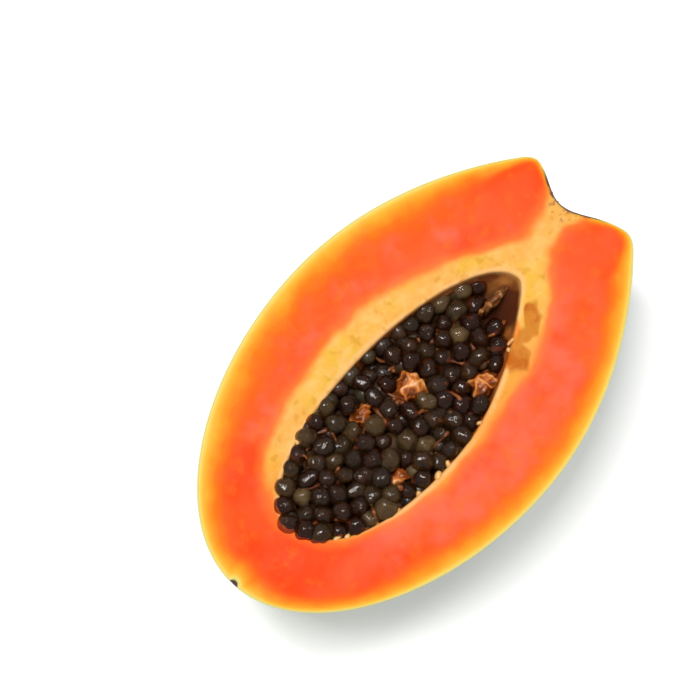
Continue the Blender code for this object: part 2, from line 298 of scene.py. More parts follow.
edge_points = np.array(LINING_EDGE_MM) * MM - HEART[:2]
edge_turn = np.arctan2(edge_points[:, 1], edge_points[:, 0])
edge_radius = np.hypot(edge_points[:, 0], edge_points[:, 1])
fine_turn = np.linspace(-pi, pi, 720, endpoint=False)
fine_radius = np.interp(fine_turn, edge_turn, edge_radius, period=2 * pi)
window = np.ones(ROUNDING_STEPS) / ROUNDING_STEPS
for _ in range(2):
    padded = np.concatenate([fine_radius[-ROUNDING_STEPS:], fine_radius, fine_radius[:ROUNDING_STEPS]])
    fine_radius = np.convolve(padded, window, "same")[ROUNDING_STEPS:-ROUNDING_STEPS]


def past_lining(p):
    """Distance of points on the cut face outside the lining's edge, negative on the lining: the
    lesser of the distances past its round edge and past the strand that runs to the stalk."""
    local = p - HEART
    bearing = np.arctan2(local[..., 1], local[..., 0])
    edge = np.interp(bearing, fine_turn, fine_radius, period=2 * pi)
    past_edge = np.hypot(local[..., 0], local[..., 1]) - edge
    line = STRAND_END - STRAND_START
    share = np.clip((p - STRAND_START) @ line / (line @ line), 0, 1)
    nearest = STRAND_START + share[..., None] * line
    half_width = STRAND_HALF_WIDTH + STRAND_FLARE * (ease(share, 0.7, 1.0) + ease(share, 0.4, 0.0))
    past_strand = np.hypot(p[..., 0] - nearest[..., 0], p[..., 1] - nearest[..., 1]) - half_width
    return -smooth_max(-past_edge, -past_strand, STRAND_BLEND)


print("lining reaches, mm:", round(fine_radius.min() / MM, 1), round(fine_radius.max() / MM, 1))

# %% [markdown]
# The amber dents are seed pockets that the knife grazed. They are slanting ovals on the face. Their
# masks serve twice, once to lower the surface and once to colour it, so they are worked out here as
# a share from 0 to 1. The deep pockets are brown amber; the shallow ones beside them are a brighter
# orange. One more pocket lies on the cavity's wall near the stem, and shows there as a dark patch of
# painted shade.

# %% Amber dents and the face's relief
# Middle X and Y, half length, half width and slant of each pocket.
DEEP_POCKETS_MM = ((46.4, -15.2, 6.0, 2.9, 32), (33.0, -20.4, 6.6, 3.7, 27), (40.4, -17.6, 3.4, 2.4, 35))
BRIGHT_POCKETS_MM = ((29.6, -17.8, 4.6, 2.0, 20), (37.5, -14.6, 5.0, 1.8, 30))
POCKET_DEPTH, BRIGHT_POCKET_DEPTH = 0.4 * MM, 0.2 * MM
# Plan place of a pocket on the cavity's wall, painted there as a dark patch of shade.
STEM_POCKET_SHADE = np.array([45.0, -5.5]) * MM
LIP_RADIUS = 1.3 * MM


def pocket_share(p, pockets):
    """How far points lie inside slanting ovals: 1 in their middle and 0 past their ragged edge."""
    wobble = 0.20 * ripples(p, 4.5 * MM, 31)
    share = np.zeros(p.shape[:-1])
    for x, y, half_length, half_width, slant in pockets:
        away = p[..., :2] / MM - (x, y)
        along = away @ (cos(radians(slant)), sin(radians(slant))) / half_length
        beside = away @ (-sin(radians(slant)), cos(radians(slant))) / half_width
        share = np.maximum(share, ease(np.hypot(along, beside) + wobble, 1.28, 0.78))
    return share


def face_relief(p, from_skin, from_lip):
    """Height of the cut over its plane: the blade's long waver, the lining's soft lumps, its fall
    towards the cavity and the pockets, all fading out at the skin."""
    lining = ease(past_lining(p), 1.0 * MM, -1.5 * MM)
    waver = 0.12 * MM * ripples(p, 34 * MM, 1) + 0.03 * MM * ripples(p, 6 * MM, 2)
    lumps = (0.15 * MM * ripples(p, 5 * MM, 3) + 0.07 * MM * ripples(p, 2.4 * MM, 4)) * lining
    fall = -0.45 * MM * ease(from_lip, 6 * MM, 0.0) - 0.25 * MM * lining
    dents = -POCKET_DEPTH * pocket_share(p, DEEP_POCKETS_MM)
    dents = np.minimum(dents, -BRIGHT_POCKET_DEPTH * pocket_share(p, BRIGHT_POCKETS_MM))
    return (waver + lumps + fall + dents) * ease(from_skin, 0.0, 2.5 * MM)


# %% [markdown]
# ## Rind and flesh as two closed pieces
# The skin of a papaya is about half a millimetre thick. Seen on the cut it is the thin line round
# the flesh, so it gets a piece of its own: its rings climb from the lowest point up the outside,
# cross the rim and go back down the inside. The flesh starts inside it, climbs under the skin,
# crosses the cut face, rolls over the lip and goes down the cavity wall. Both use the same columns,
# so the skin and the flesh share their edge on the cut exactly.

# %% Rays, reaches and edges
SKIN_THICKNESS = 0.5 * MM
FLAT_ROUNDING = 0.6 * MM
LEAST_SLANT = 0.45
# Lengths of ray that surely end outside the skin and outside the cavity's wall.
PAST_SKIN, PAST_WALL = 0.2, 0.13
RIND_ROWS, UNDER_ROWS, FACE_ROWS, LIP_ROWS, WALL_ROWS = 110, 16, 84, 7, 46


def rays_at(dip):
    """Unit rays for every column at angles of dip below the cut face, rows by columns by 3."""
    dip = np.broadcast_to(dip, (len(dip), COLUMNS))[..., None]
    return compass * np.cos(dip) + np.array([0, 0, -1.0]) * np.sin(dip)


def flattened(p):
    """The points with their lowest part pressed flat, where the fruit rests, and rounded into it."""
    floor = -BELLY_RADIUS + FLAT_DEPTH
    pressed = p.copy()
    pressed[..., 2] = smooth_max(p[..., 2], np.full(p.shape[:-1], floor), FLAT_ROUNDING)
    pressed[..., 2] = np.maximum(pressed[..., 2], floor)
    return pressed


rim_reach = reach_of(fruit, HEART, compass, PAST_SKIN)
rim = HEART + compass * rim_reach[:, None]
# The way square out of the skin at the rim is the way in which the fruit's function grows fastest.
# Where a ray meets the skin at a slant, it has more of the skin to cross.
nudges = 0.05 * MM * np.eye(3)
across = np.stack([fruit(rim + nudge) - fruit(rim - nudge) for nudge in nudges], axis=-1)
across /= np.linalg.norm(across, axis=1, keepdims=True)
slant = np.clip((across * compass).sum(1), LEAST_SLANT, 1)
skin_reach = SKIN_THICKNESS / slant
lip_reach = reach_of(cavity, np.zeros(3), compass, PAST_WALL)
print("cut face, mm:", np.ptp(rim[:, 0]).round(5) / MM, "by", np.ptp(rim[:, 1]).round(5) / MM)

# %% The rind
RIND_LUMPS, CORK_LUMPS = 0.18 * MM, 0.22 * MM
# How far the outer edge of the rim lies under the cut, and where its ridge stands in the skin.
RIM_DROP, RIDGE_SHARE = 0.22 * MM, 0.25

# Both sides of the skin have their rows a little closer near the rim.
dips = pi / 2 * (1 - np.linspace(0, 1, RIND_ROWS)[:, None] ** 0.9)
outer_rays = rays_at(dips)
outer = HEART + outer_rays * reach_of(fruit, HEART, outer_rays, PAST_SKIN)[..., None]
rim_fade = ease(-outer[..., 2], 0.0, 5 * MM)
lumps = RIND_LUMPS * ripples(outer, 22 * MM, 11) * rim_fade
cork = CORK_LUMPS * ripples(outer, 1.8 * MM, 12) * ease(hollow_distance(outer), 0.75, 0.35)
cork = cork * ease(outer[..., 0], 70 * MM, 80 * MM) * rim_fade
outer = flattened(outer - outer_rays * (np.abs(lumps) + np.abs(cork))[..., None])

under_dips = pi / 2 * np.linspace(0, 1, UNDER_ROWS)[:, None] ** 1.2
inner_rays = rays_at(under_dips)
inner_reach = reach_of(fruit, HEART, inner_rays, PAST_SKIN) - SKIN_THICKNESS
inner_skin = flattened(HEART + inner_rays * inner_reach[..., None]) + [0, 0, SKIN_THICKNESS / 2]

flesh_edge = HEART + compass * (rim_reach - skin_reach)[:, None]
rim_ridge = HEART + compass * (rim_reach - RIDGE_SHARE * skin_reach)[:, None]
outer[-1, :, 2] = -RIM_DROP
rind_rings = np.concatenate([outer, rim_ridge[None], flesh_edge[None], inner_skin[1:]])
skin_quads, skin_triangles = ring_faces(len(rind_rings), COLUMNS)

# %% [markdown]
# The flesh's rows lie closer near the skin and near the lining, where its colours change fastest.
# Each point also carries what the finish needs: how deep it lies under the skin, how far it is past
# the lining, how far down the cavity wall, how amber it is, and a vector made of its bearing from
# the heart and its depth. Noise that reads the vector, squeezed along the bearing, comes out as
# fibres that run from the skin inwards.

# %% The flesh
FACE_CROWDING = 0.10
WALL_LUMPS, WALL_CRUMBS = 0.5 * MM, 0.22 * MM
# How far the wall's lumps stand back into the flesh, so that they never close in on the seeds.
WALL_SETBACK = 0.4 * MM

# The flesh lies a little inside the skin's inner side, so the two never cut through each other.
outer_flesh = reach_of(fruit, HEART, inner_rays, PAST_SKIN) - 1.3 * SKIN_THICKNESS
under = flattened(HEART + inner_rays * outer_flesh[..., None]) + [0, 0, 0.4 * MM]
under = under[:0:-1]

steps = np.linspace(0, 1, FACE_ROWS)[:, None]
steps = steps - FACE_CROWDING * np.sin(2 * pi * steps)
start, stop = rim_reach - skin_reach, lip_reach + LIP_RADIUS
face_reach = start + (stop - start) * steps
face = HEART + compass * face_reach[..., None]
face[..., 2] = face_relief(face, (start - face_reach) * slant, face_reach - lip_reach)

roll = pi / 2 * np.linspace(0, 1, LIP_ROWS + 1)[1:, None]
lip = HEART + compass * (lip_reach + LIP_RADIUS * (1 - np.sin(roll)))[..., None]
lip[..., 2] = face[-1, :, 2] - LIP_RADIUS * (1 - np.cos(roll))

first_dip = np.arctan2(-lip[-1, :, 2], lip_reach)
wall_steps = np.linspace(0, 1, WALL_ROWS + 1)[1:, None]
wall_rays = rays_at(first_dip + (pi / 2 - first_dip) * wall_steps)
wall_reach = reach_of(cavity, np.zeros(3), wall_rays, PAST_WALL)
wall = HEART + wall_rays * wall_reach[..., None]
wall_fade = ease(wall_steps, 0.0, 0.12)
wall_lumps = WALL_LUMPS * ripples(wall, 7 * MM, 21) + WALL_CRUMBS * ripples(wall, 2.6 * MM, 22)
wall = wall + wall_rays * (wall_fade * (wall_lumps + WALL_SETBACK))[..., None]

flesh_rings = np.concatenate([under, face, lip, wall])
flesh_quads, flesh_triangles = ring_faces(len(flesh_rings), COLUMNS)

# %% [markdown]
# A papaya doesn't ripen evenly. Under the left shoulder, by the stalk's hollow and on the right of
# the blossom end, red flesh reaches close to the skin, and along the left side the yellow band is
# wider. The depth under the skin is stretched or shrunk there before the finish reads it.

# %% Values that the flesh's finish reads
# By which share the depth is stretched in each of the three places, and shrunk along the left side.
SHOULDER_STRETCH, BY_HOLLOW_STRETCH, BLOSSOM_STRETCH, LEFT_SHRINKING = 0.7, 2.5, 0.7, 0.25
STALK_FOOT = np.array([84.7, 3.0, 0.0]) * MM
ON_FACE = 3 * MM
GRAIN_RADIUS = 18 * MM


def distance_to_rim(points):
    """Shortest distance in plan from each point of a row to the rim, a closed line of straight
    pieces: the foot of each point on each piece is clipped to the piece's two ends."""
    ends = np.roll(rim, -1, axis=0)[:, :2] - rim[:, :2]
    away = points[:, None, :2] - rim[None, :, :2]
    foot = np.clip((away * ends).sum(2) / (ends * ends).sum(1), 0, 1)
    return np.linalg.norm(away - foot[..., None] * ends, axis=2).min(1)


flesh_points = stacked(flesh_rings)
face_gap = np.array([distance_to_rim(row) for row in face])
beyond = len(lip) + len(wall)
skin_gap = [np.zeros((len(under), COLUMNS)), face_gap, np.tile(face_gap[-1], (beyond, 1))]
skin_gap = np.concatenate([[0], np.concatenate(skin_gap).ravel(), [face_gap[-1].mean()]])

along, aside = flesh_points[:, 0], flesh_points[:, 1]
shoulder_share = ease(along, 45 * MM, 85 * MM) * ease(aside, 0, 25 * MM)
hollow_share = ease(hollow_distance(flesh_points), 2.2, 1.2) * ease(along, 60 * MM, 72 * MM)
left_share = ease(aside, 8 * MM, 36 * MM) * ease(along, -86 * MM, -56 * MM)
blossom_share = ease(along, -42 * MM, -68 * MM) * ease(aside, -4 * MM, -18 * MM)
ripeness = 1 + SHOULDER_STRETCH * shoulder_share + BY_HOLLOW_STRETCH * hollow_share
ripeness += BLOSSOM_STRETCH * blossom_share - LEFT_SHRINKING * left_share

bearing = np.arctan2(aside - HEART[1], along - HEART[0])
below = np.maximum(-flesh_points[:, 2], 0)
on_face = below < ON_FACE
lip_gap = np.hypot(along - HEART[0], aside - HEART[1])
lip_gap = lip_gap - np.interp(bearing, turn, lip_reach, period=2 * pi)
flesh_values = {
    "under_skin": skin_gap * ripeness / MM,
    "past_lining": past_lining(flesh_points) / MM,
    "past_lip": lip_gap / MM,
    "down_wall": below / MM,
    "amber": pocket_share(flesh_points, DEEP_POCKETS_MM) * on_face,
    "bright": pocket_share(flesh_points, BRIGHT_POCKETS_MM) * on_face,
    # Distance to the pocket on the wall, where the finish paints a dark patch of shade.
    "pocket_shade_gap": np.linalg.norm(flesh_points[:, :2] - STEM_POCKET_SHADE, axis=1) / MM,
    "near_stalk": np.linalg.norm(flesh_points - STALK_FOOT, axis=1) / MM,
    "grain": np.column_stack(
        [GRAIN_RADIUS * np.cos(bearing), GRAIN_RADIUS * np.sin(bearing), skin_gap]
    ),
}
print("deepest flesh under the skin, mm:", round(float(skin_gap.max() / MM), 1))

# %% [markdown]
# The shapes so far stand round the fruit's own origin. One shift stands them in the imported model:
# the middle of the new rind goes to the middle of the solid, and the cut face to its height.

# %% Stand rind and flesh in the model
rind_points = stacked(rind_rings)
fruit_middle = (rind_points.min(0) + rind_points.max(0)) / 2
solid_middle = (np.array(half_low) + np.array(half_high)) / 2
ORIGIN = solid_middle - fruit_middle
ORIGIN[2] = half_high[2]
print("fruit's origin in the model, mm:", (ORIGIN / MM).round(2))

# A vector that turns round the fruit at one radius everywhere draws streaks that run lengthwise.
STREAK_RADIUS = 25 * MM
# Past this line towards the blossom end the hollow's distance is raised, so no cork shows there.
CORK_LIMIT_X, FAR_FROM_HOLLOW = 60 * MM, 4

around = np.arctan2(rind_points[:, 2], rind_points[:, 1])
lengthwise = [rind_points[:, 0], STREAK_RADIUS * np.cos(around), STREAK_RADIUS * np.sin(around)]
rind_values = {
    "lengthwise": np.column_stack(lengthwise),
    "hollow": hollow_distance(rind_points) + FAR_FROM_HOLLOW * (rind_points[:, 0] < CORK_LIMIT_X),
    "scar": np.linalg.norm(rind_points - SCAR_PLACE, axis=1) / MM,
    "rim": ease(rind_points[:, 2], -0.7 * MM, -0.3 * MM),
}
rind = surface_object("rind", rind_points + ORIGIN, skin_quads, skin_triangles, rind_values)
flesh = surface_object("flesh", flesh_points + ORIGIN, flesh_quads, flesh_triangles, flesh_values)

# %% [markdown]
# ## Nodes in few words
# Each finish below is a small tree of shader nodes. A few helpers keep the trees readable: they add
# a node, set or link its inputs, and hand back the output, so a finish reads like a recipe.

# %% Helpers for shader nodes
def new_finish(name):
    """A new material and its tree, with one Principled shader."""
    made = bpy.data.materials.new(name)
    made.use_nodes = True
    print("finish:", name)
    return made, made.node_tree, made.node_tree.nodes["Principled BSDF"]


def plug(tree, socket, value):
    """Links a socket to another node's output, or sets it to a number or a colour."""
    if isinstance(value, bpy.types.NodeSocket):
        tree.links.new(value, socket)
    else:
        socket.default_value = value


def add(tree, kind, inputs=(), output=0, **settings):
    """Adds a node of a kind with its settings, plugs its inputs by name or number, and returns
    one of its outputs."""
    made = tree.nodes.new(kind)
    for title, value in settings.items():
        setattr(made, title, value)
    for title, value in dict(inputs).items():
        plug(tree, made.inputs[title], value)
    return made.outputs[output]


def reading(tree, title, output="Fac"):
    """A value that the mesh carries for each point."""
    return add(tree, "ShaderNodeAttribute", output=output, attribute_name=title)


def here(tree):
    """The place of the shaded point in the object's own frame."""
    return add(tree, "ShaderNodeTexCoord", output="Object")


def part_of(tree, vector, axis):
    """One of a vector's parts: 0 for X, 1 for Y, 2 for Z."""
    return add(tree, "ShaderNodeSeparateXYZ", {0: vector}, output=axis)


def maths(tree, operation, a, b=0.0, c=0.0):
    """The result of one operation on two or three values."""
    return add(tree, "ShaderNodeMath", {0: a, 1: b, 2: c}, operation=operation)


def times(tree, a, b):
    """The product of two values."""
    return maths(tree, "MULTIPLY", a, b)


def grown(tree, value, low, high, to_low=0.0, to_high=1.0):
    """A smooth step from one value to another as the input goes from low to high."""
    inputs = {"Value": value, "From Min": low, "From Max": high, "To Min": to_low, "To Max": to_high}
    return add(tree, "ShaderNodeMapRange", inputs, interpolation_type="SMOOTHSTEP")


def mottle(tree, where, scale, detail=3.0, roughness=0.55):
    """Soft noise from 0 to 1 at so many waves a metre."""
    inputs = {"Vector": where, "Scale": scale, "Detail": detail, "Roughness": roughness}
    return add(tree, "ShaderNodeTexNoise", inputs)


def stretched(tree, vector, x, y, z):
    """The vector with its three parts scaled, to draw a pattern out one way."""
    inputs = {"Vector": vector, "Scale": (x, y, z)}
    return add(tree, "ShaderNodeMapping", inputs)


def blend(tree, share, first, second):
    """A colour between two colours."""
    made = tree.nodes.new("ShaderNodeMix")
    made.data_type = "RGBA"
    plug(tree, made.inputs[0], share)
    plug(tree, made.inputs[6], first)
    plug(tree, made.inputs[7], second)
    return made.outputs[2]


def ramp(tree, share, stops):
    """A colour that runs through stops of (share, colour)."""
    made = tree.nodes.new("ShaderNodeValToRGB")
    band = made.color_ramp
    while len(band.elements) < len(stops):
        band.elements.new(0.5)
    for element, (place, colour) in zip(band.elements, stops):
        element.position = place
        element.color = colour
    plug(tree, made.inputs[0], share)
    return made.outputs[0]


def bumped(tree, height, distance, strength=1.0, onto=None):
    """A surface normal tilted by a height from 0 to 1 that stands for a distance in metres."""
    inputs = {"Strength": strength, "Distance": distance, "Height": height}
    if onto is not None:
        inputs["Normal"] = onto
    return add(tree, "ShaderNodeBump", inputs)


# %% [markdown]
# ## The flesh's colour
# Under the skin the flesh is a pale cream line, then golden, then orange, and it is red-orange in
# the middle of its wall, reddest at the fruit's two ends. Nearer the lining it turns a little paler
# and pinker, in soft blotches and faint fibres; the pale salmon blotches are partly the flesh's tone
# and partly painted sheen of the wet cut. One could paint this on an image, but all of it follows
# distances, so the tree runs a colour ramp over the distances that the mesh carries. Noise pushes the
# distances about, which bends the borders the way growth does.

# %% Noises of the flesh, and its body
RAMP_SPAN_MM = 24.0
# Colours by depth under the skin, in millimetres.
SKINWARD = (
    (0.0, screen(238, 220, 150)),
    (0.8, screen(238, 200, 92)),
    (1.9, screen(240, 172, 48)),
    (3.4, screen(242, 146, 30)),
    (5.6, screen(242, 116, 16)),
    (8.5, screen(240, 94, 16)),
    (12.0, screen(238, 86, 26)),
    (18.0, screen(236, 90, 42)),
    (24.0, screen(236, 96, 54)),
)


def flesh_noises(tree, place):
    """The noises that the flesh's recipes share, from broad clouds to fibres and fine crumbs."""
    grain = stretched(tree, reading(tree, "grain", "Vector"), 380, 380, 30)
    return SimpleNamespace(
        broad=mottle(tree, place, 38, 2, 0.5),
        blotch=mottle(tree, place, 90, 3, 0.5),
        cloud=mottle(tree, place, 190, 4),
        fibre=mottle(tree, grain, 1.0, 3, 0.6),
        crumb=mottle(tree, place, 1500, 3, 0.6),
    )


def body_colour(tree, noise, under, along, aside):
    """The ramp over the depth under the skin, plus a push by noise that grows with the depth.
    Inside the yellow band the two ends turn redder, and ruddy, salmon and orange blotches lie
    over it: the ruddy ones more towards the blossom end, the salmon ones more to the right. The pale
    salmon blotches are partly the flesh's tone and partly painted sheen of the wet cut."""
    push = times(tree, maths(tree, "SUBTRACT", noise.blotch, 0.5), grown(tree, under, 0.4, 6.0, 0.0, 7.0))
    depth = maths(tree, "DIVIDE", maths(tree, "ADD", under, push), RAMP_SPAN_MM)
    body = ramp(tree, depth, [(stop / RAMP_SPAN_MM, colour) for stop, colour in SKINWARD])
    inner = grown(tree, under, 5.0, 12.0)
    ends = maths(tree, "MAXIMUM", grown(tree, along, -0.036, -0.066), grown(tree, along, 0.046, 0.078))
    body = blend(tree, times(tree, times(tree, ends, 0.6), inner), body, screen(240, 72, 4))
    blossomward = grown(tree, along, -0.030, -0.070, 0.0, 0.16)
    ruddy = grown(tree, maths(tree, "ADD", noise.broad, blossomward), 0.46, 0.70, 0.0, 0.8)
    body = blend(tree, times(tree, ruddy, inner), body, screen(238, 60, 2))
    # Pale salmon blotches, partly the flesh's own tone and partly painted sheen, more to the right.
    rightward = grown(tree, aside, 0.010, -0.040, 0.0, 0.14)
    salmon_and_sheen = grown(tree, maths(tree, "ADD", noise.blotch, rightward), 0.46, 0.80, 0.0, 0.7)
    salmon_and_sheen = times(tree, salmon_and_sheen, grown(tree, ends, 0.0, 1.0, 1.0, 0.25))
    body = blend(tree, times(tree, salmon_and_sheen, inner), body, screen(238, 108, 82))
    orange = times(tree, grown(tree, noise.cloud, 0.52, 0.72, 0.0, 0.4), inner)
    body = blend(tree, orange, body, screen(242, 112, 30))
    return blend(tree, grown(tree, noise.fibre, 0.52, 0.80, 0.0, 0.16), body, screen(242, 124, 70))


# %% [markdown]
# The lining is peach to straw yellow, warmer at the blossom end and along the right side, with small
# olive smears. It has no sharp border: an orange halo runs ahead of it into the flesh, and the lip
# of the cavity is paler again, a painted highlight where the lining rolls over into the cavity. The
# grazed pockets, the cut strand of the stalk and the wall of the cavity each have a recipe of their
# own, laid over the colours before it, and the wall's recipe includes painted shade.

# %% Lining, pockets, stalk and wall
def lining_colour(tree, noise, along, aside):
    """Peach and straw yellow mixed by noise, warmer at the blossom end and along the right."""
    lining = blend(tree, grown(tree, noise.broad, 0.40, 0.60), screen(236, 170, 82), screen(228, 176, 62))
    lining = blend(tree, grown(tree, noise.cloud, 0.40, 0.70, 0.0, 0.7), lining, screen(238, 190, 114))
    lining = blend(tree, grown(tree, noise.fibre, 0.40, 0.70, 0.0, 0.3), lining, screen(232, 162, 76))
    warmer = maths(tree, "MAXIMUM", grown(tree, along, -0.046, -0.062), grown(tree, aside, -0.018, -0.026))
    return blend(tree, times(tree, warmer, 0.65), lining, screen(240, 138, 52))


def with_lining(tree, noise, place, body, lining):
    """The body with its halo, the lining up to an edge that noise moves by a few millimetres, the
    pale lip, a painted highlight, and the olive smears."""
    past = reading(tree, "past_lining")
    wander = maths(tree, "MULTIPLY_ADD", noise.blotch, 5.0, maths(tree, "ADD", past, -2.5))
    soft_edge = maths(tree, "MULTIPLY_ADD", noise.cloud, 1.6, maths(tree, "ADD", wander, -0.8))
    halo = grown(tree, soft_edge, 6.0, -1.0, 0.0, 0.8)
    colour = blend(tree, halo, body, screen(242, 128, 46))
    colour = blend(tree, grown(tree, soft_edge, 2.0, -2.0), colour, lining)
    # Painted highlight: the lining is paler where it rolls over the lip into the cavity.
    by_lip = grown(tree, reading(tree, "past_lip"), 3.0, 1.4, 0.0, 0.8)
    lip_highlight = times(tree, by_lip, grown(tree, noise.blotch, 0.30, 0.52, 0.25, 1.0))
    lip_highlight = times(tree, lip_highlight, grown(tree, past, 1.2, -0.8))
    colour = blend(tree, lip_highlight, colour, screen(240, 184, 118))
    smear = grown(tree, mottle(tree, place, 300, 1, 0.4), 0.56, 0.76)
    smear = times(tree, smear, grown(tree, past, -0.5, -2.5))
    return blend(tree, times(tree, smear, 0.6), colour, screen(206, 146, 40))


def with_pockets(tree, noise, colour):
    """Bright orange and deep amber over the seed pockets that the knife grazed."""
    bright = blend(tree, noise.cloud, screen(228, 128, 36), screen(230, 112, 18))
    colour = blend(tree, times(tree, reading(tree, "bright"), 0.8), colour, bright)
    deep = blend(tree, grown(tree, noise.cloud, 0.4, 0.6), screen(200, 122, 36), screen(184, 92, 8))
    return blend(tree, times(tree, reading(tree, "amber"), 0.92), colour, deep)


def with_stalk(tree, noise, place, under, colour):
    """Brown threads where the stalk's strand is cut, and a dark, broken edge round its hollow."""
    stalk = reading(tree, "near_stalk")
    threads = mottle(tree, stretched(tree, place, 380, 560, 420), 1.0, 2, 0.6)
    threads = times(tree, grown(tree, threads, 0.50, 0.64), grown(tree, stalk, 9.0, 3.5))
    colour = blend(tree, times(tree, threads, 0.7), colour, screen(168, 96, 62))
    bark = times(tree, grown(tree, under, 5.0, 2.2), grown(tree, stalk, 17.0, 10.0))
    bark = times(tree, bark, grown(tree, noise.blotch, 0.36, 0.54))
    return blend(tree, bark, colour, screen(90, 54, 34))


def with_wall(tree, noise, along, colour):
    """Brown pulp down the cavity's wall, tan near the stem, partly the wall's own colour and partly
    painted shade; past it, painted shade that darkens with depth, and a dark patch over one pocket."""
    pulp_and_shade = blend(tree, noise.cloud, screen(176, 96, 38), screen(134, 62, 20))
    tan = blend(tree, grown(tree, noise.blotch, 0.40, 0.62), screen(170, 108, 50), screen(116, 60, 24))
    pulp_and_shade = blend(tree, grown(tree, along, 0.026, 0.044), pulp_and_shade, tan)
    # Painted shade: a dark patch where a pocket in the wall lies in shadow.
    pulp_and_shade = blend(tree, grown(tree, reading(tree, "pocket_shade_gap"), 9.0, 5.5), pulp_and_shade, screen(84, 38, 16))
    down = reading(tree, "down_wall")
    # Brown pulp, partly the wall's own colour and partly painted shade.
    colour = blend(tree, grown(tree, down, 0.9, 3.2), colour, pulp_and_shade)
    # Painted shade: darker with depth down the wall, towards the bottom of the cavity.
    return blend(tree, grown(tree, down, 3.5, 11.0, 0.0, 0.9), colour, screen(58, 22, 8))


# %% The flesh's finish
def finish_flesh():
    """The recipes one over the other, on a moist and slightly grainy surface that lets a little
    light through."""
    made, tree, shader = new_finish("cut_flesh")
    place = here(tree)
    noise = flesh_noises(tree, place)
    under = reading(tree, "under_skin")
    along, aside = part_of(tree, place, 0), part_of(tree, place, 1)
    colour = body_colour(tree, noise, under, along, aside)
    colour = with_lining(tree, noise, place, colour, lining_colour(tree, noise, along, aside))
    colour = with_pockets(tree, noise, colour)
    colour = with_stalk(tree, noise, place, under, colour)
    colour = with_wall(tree, noise, along, colour)
    plug(tree, shader.inputs["Base Color"], colour)

    plug(tree, shader.inputs["Roughness"], grown(tree, noise.cloud, 0.3, 0.7, 0.54, 0.68))
    shader.inputs["Specular IOR Level"].default_value = 0.10
    shader.inputs["Subsurface Weight"].default_value = 0.20
    shader.inputs["Subsurface Radius"].default_value = (1.0, 0.35, 0.12)
    shader.inputs["Subsurface Scale"].default_value = 1.6 * MM
    grainy = bumped(tree, noise.crumb, 0.06 * MM, 0.7)
    fibrous = bumped(tree, noise.fibre, 0.10 * MM, 0.5, onto=grainy)
    plug(tree, shader.inputs["Normal"], fibrous)
    return made


flesh.data.materials.append(finish_flesh())
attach(flesh, "root")

# %% [markdown]
# ## The rind's colour
# The skin of this kind stays green for long. It is dark olive in the shade of the shoulders,
# yellow-green on the belly, and warms to orange-brown in long patches as it ripens. Faint streaks
# run from stalk to scar. The rim of the cut shows the skin's inside, pale yellow-green, and the
# hollow where the stalk sat is brown cork.

# %% The rind's finish
def finish_rind():
    """Green by patches, streaks and ripe stretches, with pale pores; then the cork of the hollow,
    the scab of the scar and the cut edge over it, each by its own mask."""
    made, tree, shader = new_finish("waxy_rind")
    place = here(tree)
    along = reading(tree, "lengthwise", "Vector")
    patch = mottle(tree, stretched(tree, along, 9, 34, 34), 1.0, 2, 0.5)
    streak = mottle(tree, stretched(tree, along, 14, 240, 240), 1.0, 4, 0.6)
    ripe = mottle(tree, stretched(tree, along, 11, 42, 42), 1.0, 3, 0.5)
    fine = mottle(tree, place, 260, 4, 0.6)

    green = ramp(tree, patch, (
        (0.30, screen(44, 66, 16)),
        (0.45, screen(82, 106, 22)),
        (0.58, screen(116, 142, 28)),
        (0.72, screen(140, 162, 40)),
    ))
    green = blend(tree, grown(tree, streak, 0.45, 0.75, 0.0, 0.35), green, screen(52, 78, 18))
    green = blend(tree, grown(tree, fine, 0.5, 0.8, 0.0, 0.25), green, screen(150, 160, 50))
    green = blend(tree, grown(tree, ripe, 0.55, 0.72, 0.0, 0.75), green, screen(158, 108, 26))
    pore = add(tree, "ShaderNodeTexVoronoi", {"Vector": place, "Scale": 420.0})
    dot = grown(tree, pore, 0.16, 0.08)
    green = blend(tree, times(tree, dot, 0.35), green, screen(176, 176, 92))

    hollow = maths(tree, "MULTIPLY_ADD", fine, 0.5, reading(tree, "hollow"))
    cork = blend(tree, fine, screen(96, 66, 40), screen(44, 30, 20))
    colour = blend(tree, grown(tree, hollow, 1.35, 0.95), green, cork)
    scar = maths(tree, "MULTIPLY_ADD", fine, 1.5, reading(tree, "scar"))
    scab = blend(tree, grown(tree, fine, 0.4, 0.6), screen(44, 24, 10), screen(88, 54, 26))
    colour = blend(tree, grown(tree, scar, 4.2, 3.2), colour, scab)
    cut_edge = blend(tree, fine, screen(206, 198, 104), screen(224, 210, 128))
    cut_edge = blend(tree, grown(tree, hollow, 1.5, 1.0), cut_edge, screen(84, 54, 34))
    colour = blend(tree, reading(tree, "rim"), colour, cut_edge)
    plug(tree, shader.inputs["Base Color"], colour)

    plug(tree, shader.inputs["Roughness"], grown(tree, fine, 0.3, 0.7, 0.34, 0.50))
    shader.inputs["Specular IOR Level"].default_value = 0.25
    plug(tree, shader.inputs["Coat Weight"], grown(tree, scar, 3.5, 5.5, 0.0, 0.22))
    shader.inputs["Coat Roughness"].default_value = 0.28
    shader.inputs["Subsurface Weight"].default_value = 0.06
    shader.inputs["Subsurface Radius"].default_value = (0.6, 1.0, 0.2)
    shader.inputs["Subsurface Scale"].default_value = 1.0 * MM
    pitted = bumped(tree, maths(tree, "SUBTRACT", 1.0, dot), 0.05 * MM, 0.5)
    uneven = bumped(tree, fine, 0.12 * MM, 0.5, onto=pitted)
    plug(tree, shader.inputs["Normal"], uneven)
    return made


rind.data.materials.append(finish_rind())
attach(rind, "root")

# %% [markdown]
# ## Where the seeds lie
# The seeds fill the cavity to just over the cut at the blossom end and sink towards the stem. A heap
# could be dropped in with a physics simulation, but a simpler rule gives the same packing every time:
# scatter points in the cavity's outline, then let neighbours that stand too near push each other
# apart, away from the wall and off the cushions of lining. The first layer repeats the layout of the
# solid's seeds. Two more layers lie under it, each in the narrower outline of its own depth.

